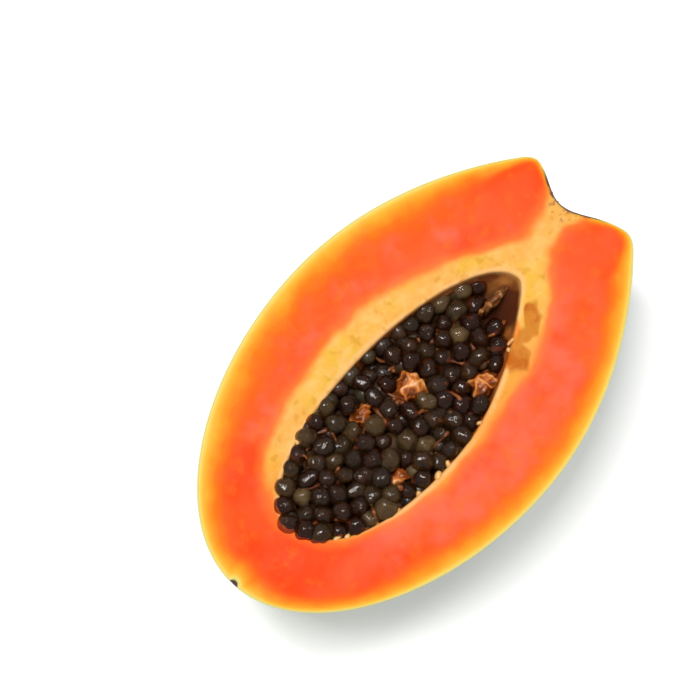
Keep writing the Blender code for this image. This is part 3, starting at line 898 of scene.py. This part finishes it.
# %% Spread seeds over the bed
# Middle X and Y, and half sizes along X and Y, of each cushion.
CUSHIONS_MM = (
    (1.0, 1.0, 7.2, 6.2), (-17.5, 6.5, 5.2, 3.8), (19.0, -17.5, 6.6, 5.0),
    (-25.0, -17.0, 5.0, 3.2), (44.0, -0.5, 9.5, 1.9),
)
SEED_RADIUS, SEED_RADIUS_SPREAD, SEED_SPACING = 3.4 * MM, 0.5 * MM, 6.5 * MM
SEED_WALL_ROOM, SEED_CUSHION_ROOM, SEED_HEIGHT_SPREAD = 2.8 * MM, 2.0 * MM, 1.3 * MM
BED_TOP_AT_BLOSSOM, BED_FALL = 1.6 * MM, 0.055
BED_BLOSSOM_X, BED_STEM_X, BED_STEM_SLANT = -62.0 * MM, 45.0 * MM, 0.7
SPREADING_ROUNDS = 300
SPREADING_EASE = 0.4
PROBE = 1e-5


def bed_top(x):
    """Height of the top of the seeds over the cut face: a straight fall towards the stem."""
    return BED_TOP_AT_BLOSSOM - BED_FALL * (x - BED_BLOSSOM_X)


def wall_overreach(points, level, room):
    """The move in plan that takes points clear of the cavity's outline at a level: along the
    steepest way in, by what they lack of the room that a seed needs."""
    def depth(plan):
        """How far inside the outline points lie: the cavity's function times its half width."""
        local = np.column_stack([plan - HEART[:2], np.full(len(plan), level)])
        return -cavity(local) * min(CAVITY_LEFT, CAVITY_RIGHT)

    inside = depth(points)
    slope = np.column_stack([depth(points + [PROBE, 0]) - inside, depth(points + [0, PROBE]) - inside])
    inward = slope / (np.linalg.norm(slope, axis=1, keepdims=True) + TINY)
    move = inward * np.clip(room - inside, 0, None)[:, None]
    stem_limit = BED_STEM_X - SEED_RADIUS + BED_STEM_SLANT * points[:, 1]
    move[:, 0] -= np.clip(points[:, 0] - stem_limit, 0, None)
    return move


def cushion_push(points):
    """The move in plan that takes points off any cushion that they stand on."""
    move = np.zeros_like(points)
    for x, y, half_x, half_y in CUSHIONS_MM:
        sizes = np.array([half_x, half_y]) * MM + SEED_CUSHION_ROOM
        away = (points - np.array([x, y]) * MM) / sizes
        share = np.linalg.norm(away, axis=1, keepdims=True) + TINY
        move += np.where(share < 1, (1 / share - 1) * away * sizes, 0)
    return move


def crowding_push(points):
    """Half the move that parts each pair of points which are nearer than the seeds' spacing."""
    apart = points[:, None] - points[None]
    distance = np.linalg.norm(apart, axis=2) + TINY
    np.fill_diagonal(distance, 1)
    push = np.clip(SEED_SPACING - distance, 0, None) / distance
    return 0.5 * (apart * push[:, :, None]).sum(axis=1)


def spread_layer(count, level, room, draw):
    """Plan places of one layer of seeds at a level under the cut face."""
    low = np.array([BED_BLOSSOM_X, HEART[1] - CAVITY_RIGHT])
    high = np.array([BED_STEM_X, HEART[1] + CAVITY_LEFT])
    points = low + (high - low) * draw.random((count, 2))
    for _ in range(SPREADING_ROUNDS):
        points = points + SPREADING_EASE * crowding_push(points)
        points = points + wall_overreach(points, level, room)
        points = points + cushion_push(points)
    return points


# %% [markdown]
# ## One seed, many times
# A fresh papaya seed is a dark, wrinkled pip in a bag of clear jelly. The pip and its jelly are two
# closed ovals, one inside the other, and a little slimmer at one end. Hundreds are needed, so each
# has few faces and smooth shading does the rest. One oval of points is scaled, turned and moved for
# all seeds at once.

# %% The shape of a seed
def oval_points(rows, columns, slimming):
    """Rings of a unit oval between its poles on X: the usual sphere, narrower towards +X by a
    share that follows the cosine."""
    a = pi * (np.arange(rows) + 1)[:, None] / (rows + 1)
    b = 2 * pi * np.arange(columns)[None] / columns
    x = -np.cos(a) + 0 * b
    width = np.sin(a) * (1 + slimming * np.cos(a))
    rings = np.stack([x, width * np.cos(b), width * np.sin(b)], axis=-1).reshape(-1, 3)
    return np.vstack([[-1, 0, 0], rings, [1, 0, 0]])


def turns_about(axes, rolls):
    """Rotation matrices about unit axes by angles: I + sin(roll) K + (1 - cos(roll)) K K, with K
    the matrix that crosses the axis with a vector."""
    x, y, z = axes.T
    none = np.zeros_like(x)
    crossing = np.array([[none, -z, y], [z, none, -x], [-y, x, none]]).transpose(2, 0, 1)
    turned = np.sin(rolls)[:, None, None] * crossing
    return np.eye(3) + turned + (1 - np.cos(rolls))[:, None, None] * (crossing @ crossing)


# How far apart two neighbours read the relief that lumps them and the noise that wrinkles them.
RELIEF_PARTING, NOISE_PARTING = 7, 9
LUMP_WAVELENGTH = 4.5 * MM


def copies(name, centres, sizes, longs, turns, tones, rows, columns, lump):
    """One object that holds an oval for each centre, each drawn out along its own axis. Its radius
    rises and falls by a share, and its points carry its tone and its unturned shape."""
    oval = oval_points(rows, columns, SEED_SLIMMING)
    drawn = oval[None] * np.stack([longs, np.ones_like(longs), np.ones_like(longs)], axis=1)[:, None]
    arms = np.einsum("kij,kvj->kvi", turns, drawn) * sizes[:, None, None]
    swell = 1 + lump * ripples(centres[:, None] * RELIEF_PARTING + arms, LUMP_WAVELENGTH, 61)
    points = (arms * swell[..., None] + centres[:, None]).reshape(-1, 3) + ORIGIN
    quads, triangles = many_ring_faces(rows, columns, len(centres))
    own = (oval[None] + NOISE_PARTING * tones[:, None, None]).reshape(-1, 3)
    values = {"tone": np.repeat(tones, len(oval)), "own": own}
    return surface_object(name, points, quads, triangles, values)


# %% Lay the seeds
SEED_STRETCH, SEED_STRETCH_SPREAD, SEED_SLIMMING = 1.1, 0.18, 0.10
# How far the seeds beside the lip lean out and up, in the top layer and in the one under it.
TOP_LEAN, SECOND_LEAN = (1.3 * MM, 1.1 * MM), (0.6 * MM, 2.6 * MM)
# A pip's radius as a share of its seed's, from and to, and how far it sits off the middle.
PIP_SHARES, PIP_SHIFT = (0.62, 0.80), 0.09
JELLY_SWELL = 1.05
# Seeds, level under the top layer, room to the wall and seed of the draw for each layer.
LAYERS = (
    (94, 0.0, SEED_WALL_ROOM, 11),
    (100, -3.4 * MM, 1.2 * MM, 12),
    (80, -8.4 * MM, 1.8 * MM, 13),
)


def lay_seeds(count, level, room, seed):
    """Centres, sizes, lengths, turns and tones of one layer. After the plan, each seed in turn draws
    its size, its height, the axis that it is rolled about and how far it is rolled."""
    draw = np.random.default_rng(seed)
    plan = spread_layer(count, level, room, draw)
    sizes, heights, rolls = np.zeros((3, count))
    axes = np.zeros((count, 3))
    for number in range(count):
        sizes[number] = SEED_RADIUS + SEED_RADIUS_SPREAD * draw.uniform(-1, 1)
        heights[number] = level - sizes[number] + SEED_HEIGHT_SPREAD * draw.uniform(-1, 1)
        axes[number] = draw.normal(size=3)
        rolls[number] = draw.uniform(0, pi)
    axes /= np.linalg.norm(axes, axis=1, keepdims=True)
    centres = np.column_stack([plan, bed_top(plan[:, 0]) + heights])
    longs = SEED_STRETCH + SEED_STRETCH_SPREAD * draw.uniform(-1, 1, count)
    return centres, sizes, longs, turns_about(axes, rolls), draw.random(count)


def leaning_on_the_lip(centres, out, up):
    """Centres with those beside the left side of the lip moved out and up: by the whole lean up to
    3 mm from the lip, and by none past 6.5 mm, on the right side or near the stem end."""
    local = centres[:, :2] - HEART[:2]
    reach = np.linalg.norm(local, axis=1)
    gap = np.interp(np.arctan2(local[:, 1], local[:, 0]), turn, lip_reach, period=2 * pi) - reach
    share = ease(gap, 6.5 * MM, 3.0 * MM) * ease(local[:, 1], -5 * MM, 1 * MM)
    share = share * ease(local[:, 0], 52 * MM, 42 * MM)
    moved = local / reach[:, None] * (share * out)[:, None]
    return centres + np.column_stack([moved, share * up])


layers = [lay_seeds(*layer) for layer in LAYERS]
top_centres, top_sizes, *top_manners = layers[0]
top_centres = leaning_on_the_lip(top_centres, *TOP_LEAN)
layers[1] = (leaning_on_the_lip(layers[1][0], *SECOND_LEAN), *layers[1][1:])
draw = np.random.default_rng(17)
pip_sizes = top_sizes * draw.uniform(*PIP_SHARES, len(top_sizes))
sunk = draw.normal(size=top_centres.shape) * [1, 1, 0.5] - [0, 0, 0.5]
pip_centres = top_centres + PIP_SHIFT * top_sizes[:, None] * sunk
pips = copies("seed_pips", pip_centres, pip_sizes, *top_manners, 11, 16, 0.11)
jelly = copies("seed_jelly", top_centres, top_sizes * JELLY_SWELL, *top_manners, 15, 22, 0.09)
buried = [np.concatenate(parts) for parts in zip(*layers[1:])]
deep = copies("buried_seeds", *buried, 6, 10, 0.05)
print("seeds:", sum(len(centres) for centres, *_ in layers))

# %% [markdown]
# The pips are near black, some of them brown or olive where the coat is thin, and wrinkled. The
# jelly is clear with a breath of brown, and wet, so it carries the small bright lights that make the
# heap glitter. Real refraction in the jelly is worth its cost here, because the pip inside then
# seems to float.

# %% The seeds' finishes
def finish_pip(name, shine):
    """A near-black coat, browner or olive by the seed's tone, with brown wrinkles, and a wet coat
    of its own only where no jelly lies over it."""
    made, tree, shader = new_finish(name)
    own = reading(tree, "own", "Vector")
    tone = reading(tree, "tone")
    wrinkle = mottle(tree, stretched(tree, own, 1.0, 2.2, 2.2), 1.6, 4, 0.6)
    colour = ramp(tree, tone, (
        (0.00, screen(26, 18, 14)),
        (0.40, screen(40, 26, 18)),
        (0.62, screen(56, 32, 20)),
        (0.80, screen(50, 44, 26)),
        (0.92, screen(80, 52, 32)),
        (1.00, screen(96, 82, 54)),
    ))
    colour = blend(tree, grown(tree, wrinkle, 0.46, 0.70, 0.0, 0.5), colour, screen(90, 60, 38))
    plug(tree, shader.inputs["Base Color"], colour)
    plug(tree, shader.inputs["Roughness"], grown(tree, wrinkle, 0.3, 0.7, 0.28, 0.55))
    shader.inputs["Specular IOR Level"].default_value = 0.15
    shader.inputs["Coat Weight"].default_value = shine
    shader.inputs["Coat Roughness"].default_value = 0.12
    plug(tree, shader.inputs["Normal"], bumped(tree, wrinkle, 0.45 * MM, 0.9))
    return made


def finish_jelly():
    """Clear, tinted by the seed's tone, cloudier in some seeds, with soft dimples."""
    made, tree, shader = new_finish("seed_jelly")
    tone = reading(tree, "tone")
    own = reading(tree, "own", "Vector")
    tint = ramp(tree, tone, (
        (0.0, screen(206, 160, 118)),
        (0.3, screen(172, 98, 54)),
        (0.6, screen(188, 130, 80)),
        (0.8, screen(146, 112, 66)),
        (1.0, screen(190, 156, 104)),
    ))
    dimple = mottle(tree, own, 1.4, 3, 0.55)
    plug(tree, shader.inputs["Base Color"], tint)
    plug(tree, shader.inputs["Roughness"], grown(tree, dimple, 0.4, 0.7, 0.03, 0.12))
    shader.inputs["IOR"].default_value = 1.40
    cloudy = maths(tree, "MULTIPLY_ADD", dimple, 0.5, tone)
    plug(tree, shader.inputs["Transmission Weight"], grown(tree, cloudy, 0.8, 1.4, 0.975, 0.84))
    plug(tree, shader.inputs["Normal"], bumped(tree, dimple, 0.6 * MM, 0.8))
    return made


pips.data.materials.append(finish_pip("seed_pip", 0.0))
jelly.data.materials.append(finish_jelly())
deep.data.materials.append(finish_pip("seed_buried", 0.45))
for thing in (pips, jelly, deep):
    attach(thing, "root")

# %% [markdown]
# ## Cushions, strands and bits of lining
# Here and there the seeds have come away, and the lining that carried them stands bare: torn
# cushions with lobes and branching ridges. Their colour is painted light and shade that follow the
# ridges, pale on the crests and brown in the folds, and painted shade darkens them low down. A long
# low one runs out towards the stem. Orange-brown strands cross the gaps between the seeds, and small
# pale bits, torn stalks of seeds, stick out by the lip. Sculpting the cushions by hand would take long
# and never come out twice the same. Instead they are ovals with a waved outline, raised along the
# lines where a soft random relief crosses nought, which is a cheap way to branching ridges.

# %% Cushions
CUSHION_TOP, CUSHION_ROOT = -3.0 * MM, -20.5 * MM
CUSHION_RINGS, CUSHION_COLUMNS = 56, 72
CUSHION_BLUNTNESS = 0.6
RIDGE_WAVELENGTH, RIDGE_HEIGHT = 7.5 * MM, 0.7 * MM
CRUMB_WAVELENGTH, CRUMB_HEIGHT = 2.4 * MM, 0.25 * MM
# Share of the ridges' height that is left on a cushion's flank.
FLANK_SHARE = 0.25
# Broad and small lobes of a cushion's outline, and how deep they are as a share of its width.
LOBES_AND_DEPTHS = ((3, 0.13), (8, 0.06))


def cushion_points(x, y, half_x, half_y, seed):
    """An upright oval from the cavity's floor to its top, and how far each of its points stands on
    a ridge. The outline is waved by cosines of the angle round the oval, and the surface is raised
    where |relief| is small, most near the top."""
    oval = oval_points(CUSHION_RINGS, CUSHION_COLUMNS, 0.0)[:, [2, 1, 0]]
    width = np.hypot(oval[:, 0], oval[:, 1])[:, None] + TINY
    oval[:, :2] *= width ** (CUSHION_BLUNTNESS - 1)
    around = np.arctan2(oval[:, 1], oval[:, 0])[:, None]
    oval[:, :2] *= 1 + sum(depth * np.cos(count * around + seed) for count, depth in LOBES_AND_DEPTHS)
    middle = np.array([x * MM, y * MM, (CUSHION_TOP + CUSHION_ROOT) / 2])
    sizes = np.array([half_x * MM, half_y * MM, (CUSHION_TOP - CUSHION_ROOT) / 2])
    points = middle + oval * sizes
    crest = ease(1 - np.abs(ripples(points, RIDGE_WAVELENGTH, seed, 8)), 0.35, 0.95)
    outwards = oval / sizes
    outwards /= np.linalg.norm(outwards, axis=1, keepdims=True)
    near_top = ease(oval[:, 2], 0.1, 0.8)
    lift = RIDGE_HEIGHT * (crest - 0.6) * (FLANK_SHARE + (1 - FLANK_SHARE) * near_top)
    lift += CRUMB_HEIGHT * ripples(points, CRUMB_WAVELENGTH, seed + 1)
    return points + outwards * lift[:, None], crest


shaped = [cushion_points(*sizes, 41 + 2 * number) for number, sizes in enumerate(CUSHIONS_MM)]
cushion_parts, crests = zip(*shaped)
# The ovals were stood up by swapping X and Z, which turned them inside out, so their corners are
# read backwards.
cushion_faces = many_ring_faces(CUSHION_RINGS, CUSHION_COLUMNS, len(cushion_parts))
cushion_quads, cushion_triangles = (corners[:, ::-1] for corners in cushion_faces)
cushions = surface_object(
    "lining_cushions", np.vstack(cushion_parts) + ORIGIN, cushion_quads, cushion_triangles,
    {"crest": np.concatenate(crests)},
)

# %% Tubes for strands, bits and fibres
THREAD_RINGS, THREAD_SIDES = 9, 8


def tubes(name, paths, radii):
    """Thin closed tubes, one for each path: at every point of a path a small ring stands square
    to it, on two directions that are both crossed with the path."""
    tangent = np.gradient(paths, axis=1)
    tangent /= np.linalg.norm(tangent, axis=2, keepdims=True) + TINY
    side = np.cross(tangent, [0.31, 0.17, 0.93])
    side /= np.linalg.norm(side, axis=2, keepdims=True)
    up = np.cross(tangent, side)
    b = 2 * pi * np.arange(THREAD_SIDES) / THREAD_SIDES
    ring = side[:, :, None] * np.cos(b)[:, None] + up[:, :, None] * np.sin(b)[:, None]
    rings = paths[:, :, None] + ring * radii[..., None, None]
    count, rows = paths.shape[:2]
    points = np.concatenate([paths[:, :1], rings.reshape(count, -1, 3), paths[:, -1:]], axis=1)
    quads, triangles = many_ring_faces(rows, THREAD_SIDES, count)
    return surface_object(name, points.reshape(-1, 3) + ORIGIN, quads, triangles)


# %% Pale bits by the lip
BITS = 20
BIT_RADIUS = 0.75 * MM
# Columns from the left of the belly round the blossom end to the right of the stem end.
BIT_COLUMNS = (180, 475)

draw = np.random.default_rng(5)
spot = draw.integers(*BIT_COLUMNS, BITS)
outwards = compass[spot]
root = HEART + outwards * (lip_reach[spot] + 0.5 * MM)[:, None]
root[:, 2] = -draw.uniform(0.8, 3.2, BITS) * MM
length = draw.uniform(1.4, 2.6, BITS) * MM
drift_x, drift_y = draw.normal(0, 0.4, BITS), draw.normal(0, 0.4, BITS)
drift = np.column_stack([drift_x, drift_y, draw.uniform(-0.5, 0.5, BITS)])
share = np.linspace(0, 1, THREAD_RINGS)[None, :, None]
heading = -outwards[:, None] + drift[:, None] * share
bit_paths = root[:, None] + heading * share * length[:, None, None]
blunt = np.sqrt(1 - (0.94 * share[..., 0]) ** 4)
bits = tubes("lining_bits", bit_paths, BIT_RADIUS * draw.uniform(0.9, 1.7, BITS)[:, None] * blunt)

# %% Strands between the seeds
STRANDS = 60

draw = np.random.default_rng(9)
plan = spread_layer(STRANDS, 0.0, SEED_WALL_ROOM, draw)
root = np.column_stack([plan, bed_top(plan[:, 0]) - draw.uniform(3.0, 5.0, STRANDS) * MM])
bearing = 2 * pi * draw.random(STRANDS)
reach = draw.uniform(5, 11, STRANDS)[:, None, None] * MM
heading = np.column_stack([np.cos(bearing), np.sin(bearing), draw.normal(0, 0.15, STRANDS)])
bend = draw.normal(0, 1.6, (STRANDS, 3)) * MM
strand_paths = root[:, None] + heading[:, None] * reach * (share - 0.5) + bend[:, None] * np.sin(pi * share)
waist = 0.55 + 0.45 * np.cos(2 * pi * share[..., 0]) ** 2
strand_radii = draw.uniform(0.6, 1.2, STRANDS)[:, None] * MM * waist
strands = tubes("lining_strands", strand_paths, strand_radii)

# %% [markdown]
# At the bottom of the stalk's hollow, torn fibres of the stalk stand out of the cork. Cut through
# with the fruit, they show on the face as a few dark specks along its edge.

# %% Torn fibres of the stalk
FIBRES = 40
FIBRE_RADIUS, FIBRE_SPREAD = 0.38 * MM, 7.5 * MM
# A place well inside the fruit from which the rays to the hollow's surface start.
FIBRE_START_X = 60 * MM

draw = np.random.default_rng(8)
bearing = -pi * draw.random(FIBRES)
off_axis = FIBRE_SPREAD * np.sqrt(draw.random(FIBRES))
fibre_y = HOLLOW_Y + off_axis * np.cos(bearing)
fibre_z = off_axis * np.sin(bearing) - 0.4 * MM
starts = np.column_stack([np.full(FIBRES, FIBRE_START_X), fibre_y, fibre_z])
stemward = np.array([1.0, 0, 0])
surface_reach = reach_of(fruit, starts, np.tile(stemward, (FIBRES, 1)), 0.05)
foot = starts + (surface_reach - 0.6 * MM)[:, None] * stemward
lean = np.column_stack([np.ones(FIBRES), draw.normal(0, 0.35, FIBRES), draw.normal(-0.1, 0.3, FIBRES)])
fibre_length = draw.uniform(0.7, 1.3, FIBRES) * MM
fibre_paths = foot[:, None] + lean[:, None] * share * fibre_length[:, None, None]
fibre_paths[..., 2] = np.minimum(fibre_paths[..., 2], -0.5 * MM)
fibre_radii = FIBRE_RADIUS * draw.uniform(0.6, 1.3, FIBRES)[:, None] * (1.1 - 0.8 * share[..., 0])
fibres = tubes("stalk_fibres", fibre_paths, fibre_radii)


# %% Finishes for cushions, strands, bits and fibres
def wet_pulp(made, tree, shader, colour, relief):
    """The shared wet, slightly see-through surface of everything soft in the cavity."""
    plug(tree, shader.inputs["Base Color"], colour)
    plug(tree, shader.inputs["Roughness"], grown(tree, relief, 0.3, 0.7, 0.32, 0.5))
    shader.inputs["Subsurface Weight"].default_value = 0.2
    shader.inputs["Subsurface Radius"].default_value = (1.0, 0.4, 0.12)
    shader.inputs["Subsurface Scale"].default_value = 1.2 * MM
    shader.inputs["Specular IOR Level"].default_value = 0.3
    shader.inputs["Coat Weight"].default_value = 0.2
    shader.inputs["Coat Roughness"].default_value = 0.15
    plug(tree, shader.inputs["Normal"], bumped(tree, relief, 0.3 * MM, 0.7))
    return made


def finish_cushion():
    """Brown in the folds, orange on the flanks and pale on the crests, which is painted shade and
    painted light that follow the ridges; browner towards the stem; and darker towards the root, which
    is painted shade."""
    made, tree, shader = new_finish("lining_cushion")
    place = here(tree)
    cloud = mottle(tree, place, 320, 4, 0.6)
    crest = maths(tree, "MULTIPLY_ADD", reading(tree, "crest"), 0.62, 0.18)
    crest = maths(tree, "MULTIPLY_ADD", maths(tree, "SUBTRACT", cloud, 0.5), 1.9, crest)
    # Painted light and shade: pale on the crests of the ridges and dark brown in the folds between them.
    colour = ramp(tree, crest, (
        (0.00, screen(100, 44, 10)),
        (0.32, screen(168, 84, 22)),
        (0.66, screen(206, 122, 50)),
        (1.00, screen(224, 164, 100)),
    ))
    along = part_of(tree, place, 0)
    stemward_brown = blend(tree, crest, screen(112, 62, 26), screen(172, 114, 60))
    colour = blend(tree, grown(tree, along, 0.026, 0.034), colour, stemward_brown)
    cut_height = float(ORIGIN[2])
    # Painted shade: the cushion darkens towards its root, low between the seeds.
    low = grown(tree, part_of(tree, place, 2), cut_height - 3.8 * MM, cut_height - 8.5 * MM)
    return wet_pulp(made, tree, shader, blend(tree, low, colour, screen(60, 22, 8)), cloud)


def finish_lining(name, light, dark, scale):
    """Two colours of lining mixed by noise."""
    made, tree, shader = new_finish(name)
    cloud = mottle(tree, here(tree), scale, 4, 0.6)
    mixed = blend(tree, grown(tree, cloud, 0.36, 0.62), dark, light)
    return wet_pulp(made, tree, shader, mixed, cloud)


cushions.data.materials.append(finish_cushion())
bits.data.materials.append(finish_lining("lining_bit", screen(232, 184, 116), screen(206, 132, 62), 300))
strands.data.materials.append(finish_lining("lining_strand", screen(138, 74, 28), screen(80, 38, 14), 300))
fibres.data.materials.append(finish_lining("stalk_fibre", screen(112, 84, 60), screen(40, 28, 20), 900))
for thing, slot in ((cushions, "placenta"), (bits, "placenta"), (strands, "placenta"), (fibres, "rind")):
    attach(thing, "root")

for thing in (rind, flesh, cushions, bits, strands, fibres):
    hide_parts("papaya_half")
for thing in (pips, jelly, deep):
    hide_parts("seeds")

# %% [markdown]
# ## Floor, light and camera
# The half lies on a plain white surface under studio light. The key light hangs high over it, a
# little to the upper left of the picture, and is small enough to show as one bright dot on every
# wet seed. Two weak small lights add a second dot, and an even glow fills the shadows. The camera
# looks steeply down over the blossom end, with the fruit's axis running up to the right.

# %% Floor
FLOOR_HALF = 30.0

floor_mesh = bpy.data.meshes.new("floor")
floor_corners = [(x * FLOOR_HALF, y * FLOOR_HALF, 0) for x, y in ((-1, -1), (1, -1), (1, 1), (-1, 1))]
floor_mesh.from_pydata(floor_corners, [], [(0, 1, 2, 3)])
floor = bpy.data.objects.new("floor", floor_mesh)
bpy.context.scene.collection.objects.link(floor)
made, tree, shader = new_finish("white_floor")
shader.inputs["Base Color"].default_value = (0.92, 0.92, 0.92, 1)
shader.inputs["Roughness"].default_value = 0.7
shader.inputs["Emission Color"].default_value = (1, 1, 1, 1)
shader.inputs["Emission Strength"].default_value = 0.24
floor.data.materials.append(made)

# %% Camera
CAMERA_AZIMUTH, CAMERA_ELEVATION = radians(-48), radians(78)
CAMERA_DISTANCE = 0.5516
LENS_MM = 85
# The point that the camera and the lamps look at. The fruit stands right of the picture's middle.
AIM = ORIGIN + np.array([-3.68, 30.53, 0.0]) * MM

picture_right = Vector((cos(CAMERA_AZIMUTH), sin(CAMERA_AZIMUTH), 0))
picture_up = Vector((-sin(CAMERA_AZIMUTH), cos(CAMERA_AZIMUTH), 0))
to_camera = Vector((0, 0, sin(CAMERA_ELEVATION))) - cos(CAMERA_ELEVATION) * picture_up
lens = bpy.data.cameras.new("camera")
lens.lens = LENS_MM
lens.sensor_width = 36
lens.clip_start = 0.01
camera = bpy.data.objects.new("camera", lens)
camera.location = Vector(AIM) + CAMERA_DISTANCE * to_camera
camera.rotation_euler = to_camera.to_track_quat("Z", "Y").to_euler()
bpy.context.scene.collection.objects.link(camera)
bpy.context.scene.camera = camera
print("camera, mm:", [round(value * 1000) for value in camera.location])


# %% Light
def soft_light(name, right, up, height, size, power, colour=(1, 1, 1)):
    """A square area light, placed by the picture's directions and turned to the fruit."""
    lamp = bpy.data.lights.new(name, "AREA")
    lamp.size = size
    lamp.energy = power
    lamp.color = colour
    holder = bpy.data.objects.new(name, lamp)
    offset = right * picture_right + up * picture_up + Vector((0, 0, height))
    holder.location = Vector(AIM) + offset
    holder.rotation_euler = offset.to_track_quat("Z", "Y").to_euler()
    bpy.context.scene.collection.objects.link(holder)


soft_light("key", -0.24, 0.12, 1.28, 0.44, 12.7, (1.0, 0.99, 0.97))
soft_light("glint_left", -0.40, 0.34, 1.05, 0.16, 1.5)
soft_light("glint_right", 0.38, 0.30, 1.05, 0.16, 1.2)
world = bpy.data.worlds.new("glow")
world.use_nodes = True
glow = world.node_tree.nodes["Background"]
glow.inputs["Color"].default_value = (0.97, 0.985, 1.0, 1)
glow.inputs["Strength"].default_value = 0.40
bpy.context.scene.world = world
bpy.context.scene.view_settings.view_transform = "Standard"
